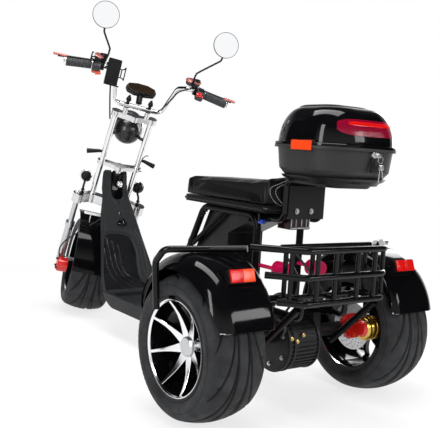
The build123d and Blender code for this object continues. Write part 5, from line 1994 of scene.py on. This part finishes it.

# %% Polished bead along the lower rear edge of each fender, a painted highlight of its rounded edge
highlight_beads = bmesh.new()
for word, side in (("left", -1), ("right", 1)):
    tree = solid_tree(nodes[word + "_fender"])
    line = []
    for x in np.linspace(0.266, 0.494, 20):
        for z in np.arange(0.3, 0.42, 0.0015):
            place, normal, _, _ = tree.ray_cast(at(side * x, -0.6, z), Vector((0, 1, 0)))
            if place is not None and place.y < axle_y - 0.12:
                line.append(place + Vector((0, 0.0034, 0.001)))
                break
    line = [p for a, p in zip([line[0], *line], line) if (p - a).length < 0.05]
    along_line(highlight_beads, line, 0.0032, 10)
# Painted highlight: this polished strip stands in for the shine along the fender's edge.
finished("fender_highlight_beads", highlight_beads, polished, "chassis", 50)

# %% Tail lamp
tail_low, tail_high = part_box("tail_lamp")
tail_middle = (Vector(tail_low) + Vector(tail_high)) / 2
tail_size = Vector(tail_high) - Vector(tail_low)
tail = bmesh.new()
for rise in (-0.4, 0.4):
    rod(tail, *(
        (tail_middle.x + end * tail_size.x, tail_low[1] - 0.001, tail_middle.z + rise * tail_size.z)
        for end in (-0.47, 0.47)
    ), 0.003, 10)
for rib in (-0.44, -0.22, 0.06, 0.3, 0.44):
    place = Matrix.Translation((tail_middle.x + rib * tail_size.x, tail_low[1] + 0.001,
                                tail_middle.z))
    block(tail, place, (0.0035, 0.005, tail_size.z * 0.62), 0.001)
finished("tail_lamp_ribs", tail, steel, "chassis", 40)

# %% [markdown]
# ## Drive
# The motor's shell has cooling fins along its length, and the brake beside the right wheel is a red
# caliper in front of a gold drum. A grid of fins is one block repeated about the motor's axis by
# the same node tree that repeats the blades of the wheels.

# %% Motor fins and end bolts
motor_low, motor_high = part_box("drive_motor")
motor_middle = (Vector(motor_low) + Vector(motor_high)) / 2
motor_middle.z = motor_low[2] + 0.092
motor_length = motor_high[0] - motor_low[0]
motor_axis = square_place((motor_middle.x, motor_middle.y, motor_middle.z), (0, 0, 1), (1, 0, 0))
fin = bmesh.new()
block(fin, Matrix.Translation((0.0925, 0, 0)), (0.009, 0.0038, motor_length * 0.86), 0.001)
fins = repeated("motor_fins", fin, [cast_black], 40)
fins.transform(motor_axis)
finished("motor_fins", fins, cast_black, "chassis", 30)
ring_set = bmesh.new()
for share in (-0.46, -0.3, 0.46):
    turned(shifted(motor_axis, 0, 0, share * motor_length), mm(
        (88, -4), (98.5, -4), (99.5, -2), (99.5, 3), (88, 4), (88, -4),
    ), 64, bm=ring_set)
finished("motor_rings", outward(ring_set), cast_black, "chassis", 30)
screws("motor_bolts", [
    (motor_axis @ Vector((0.072 * cos(a), 0.072 * sin(a), -motor_length / 2 - 0.001)), (-1, 0, 0))
    for a in (tau * n / 6 for n in range(6))
], "chassis", steel, 0.005, 0.005, 0.008)
fittings = bmesh.new()
for x, z, turn in ((-0.07, 0.25, 20), (-0.045, 0.238, -10), (-0.02, 0.258, 5)):
    place = square_place((x, motor_middle.y - 0.09, z), (1, 0, 0), (0, -1, 0.1))
    turned(place, mm(
        (0, 10), (4, 10), (4.5, 7), (7, 6), (7, -4), (0, -4),
    ), 6, bm=fittings, start=radians(turn))
finished("brass_fittings", outward(fittings), brass, "chassis", 30)

# %% Rear brakes
red_brake, gold_drum, drum_ring = bmesh.new(), bmesh.new(), bmesh.new()
for side in (-1, 1):
    drum_place = square_place(at(side * 0.27, -0.118, 0.262), (0, 0, 1), (side, 0, 0))
    turned(drum_place, mm(
        (0, -34), (30, -34), (36, -30), (40, -20), (40.5, 20), (0, 20),
    ), 48, bm=gold_drum)
    for along in (-0.026, -0.012, 0.004):
        turned(shifted(drum_place, 0, 0, along), mm(
            (37, 0), (42.5, 0.8), (42.5, 3), (37, 4), (37, 0),
        ), 48, bm=gold_drum)
    turned(shifted(drum_place, 0, 0, -0.04), mm(
        (0, -4), (22, -4), (26, 0), (30, 6), (0, 6),
    ), 40, bm=drum_ring)
    caliper = square_place(at(side * 0.248, -0.06, 0.258), (0, 0.35, 0.94), (side, 0, 0))
    for middle, size, edge in (
        ((0, 0, 0), (0.088, 0.04, 0.046), 0.008), ((0.02, -0.01, 0), (0.03, 0.036, 0.056), 0.006),
        ((-0.024, -0.008, 0), (0.026, 0.034, 0.056), 0.006),
    ):
        block(red_brake, shifted(caliper, *middle), size, edge)
    turned(shifted(caliper, 0, -0.004, 0), mm(
        (0, -32), (14, -32), (16, -28), (16, 0), (0, 0),
    ), 32, bm=red_brake)
finished("rear_calipers", outward(red_brake), red_paint, "chassis", 30)
finished("gold_drums", outward(gold_drum), gold_anodised, "chassis", 30)
finished("drum_rings", outward(drum_ring), red_paint, "chassis", 30)

# %% Cables under the seat
cables = bmesh.new()
coil_path = smooth_line([at(-0.1, 0.399, 0.638), at(-0.1, 0.447, 0.584), at(-0.1, 0.479, 0.53),
                         at(-0.1, 0.504, 0.495)], 60)
coil = []
for number, point in enumerate(coil_path):
    angle = tau * number / 12
    coil.append(point + Vector((0.0075 * cos(angle), 0.0062 * sin(angle), 0.0044 * sin(angle))))
along_line(cables, coil, 0.0019, 6)
for route in (
    mm((-60, 20, 300), (-85, -60, 330), (-80, -100, 390), (-50, -80, 450), (-20, 20, 510)),
    mm((170, -30, 300), (130, -85, 330), (80, -100, 370), (40, -70, 440), (20, 20, 520)),
    mm((-200, -30, 320), (-160, -100, 330), (-120, -110, 300), (-100, -80, 260)),
):
    along_line(cables, smooth_line([at(*p) for p in route], 10), 0.0042, 10)
finished("rear_cables", cables, cable_black, "chassis", 50)
connector = bmesh.new()
block(connector, Matrix.Translation(at(-0.1, 0.069, 0.625)), (0.018, 0.024, 0.014), 0.002)
finished("blue_connector", connector, connector_blue, "chassis", 40)
print("rear dressed")
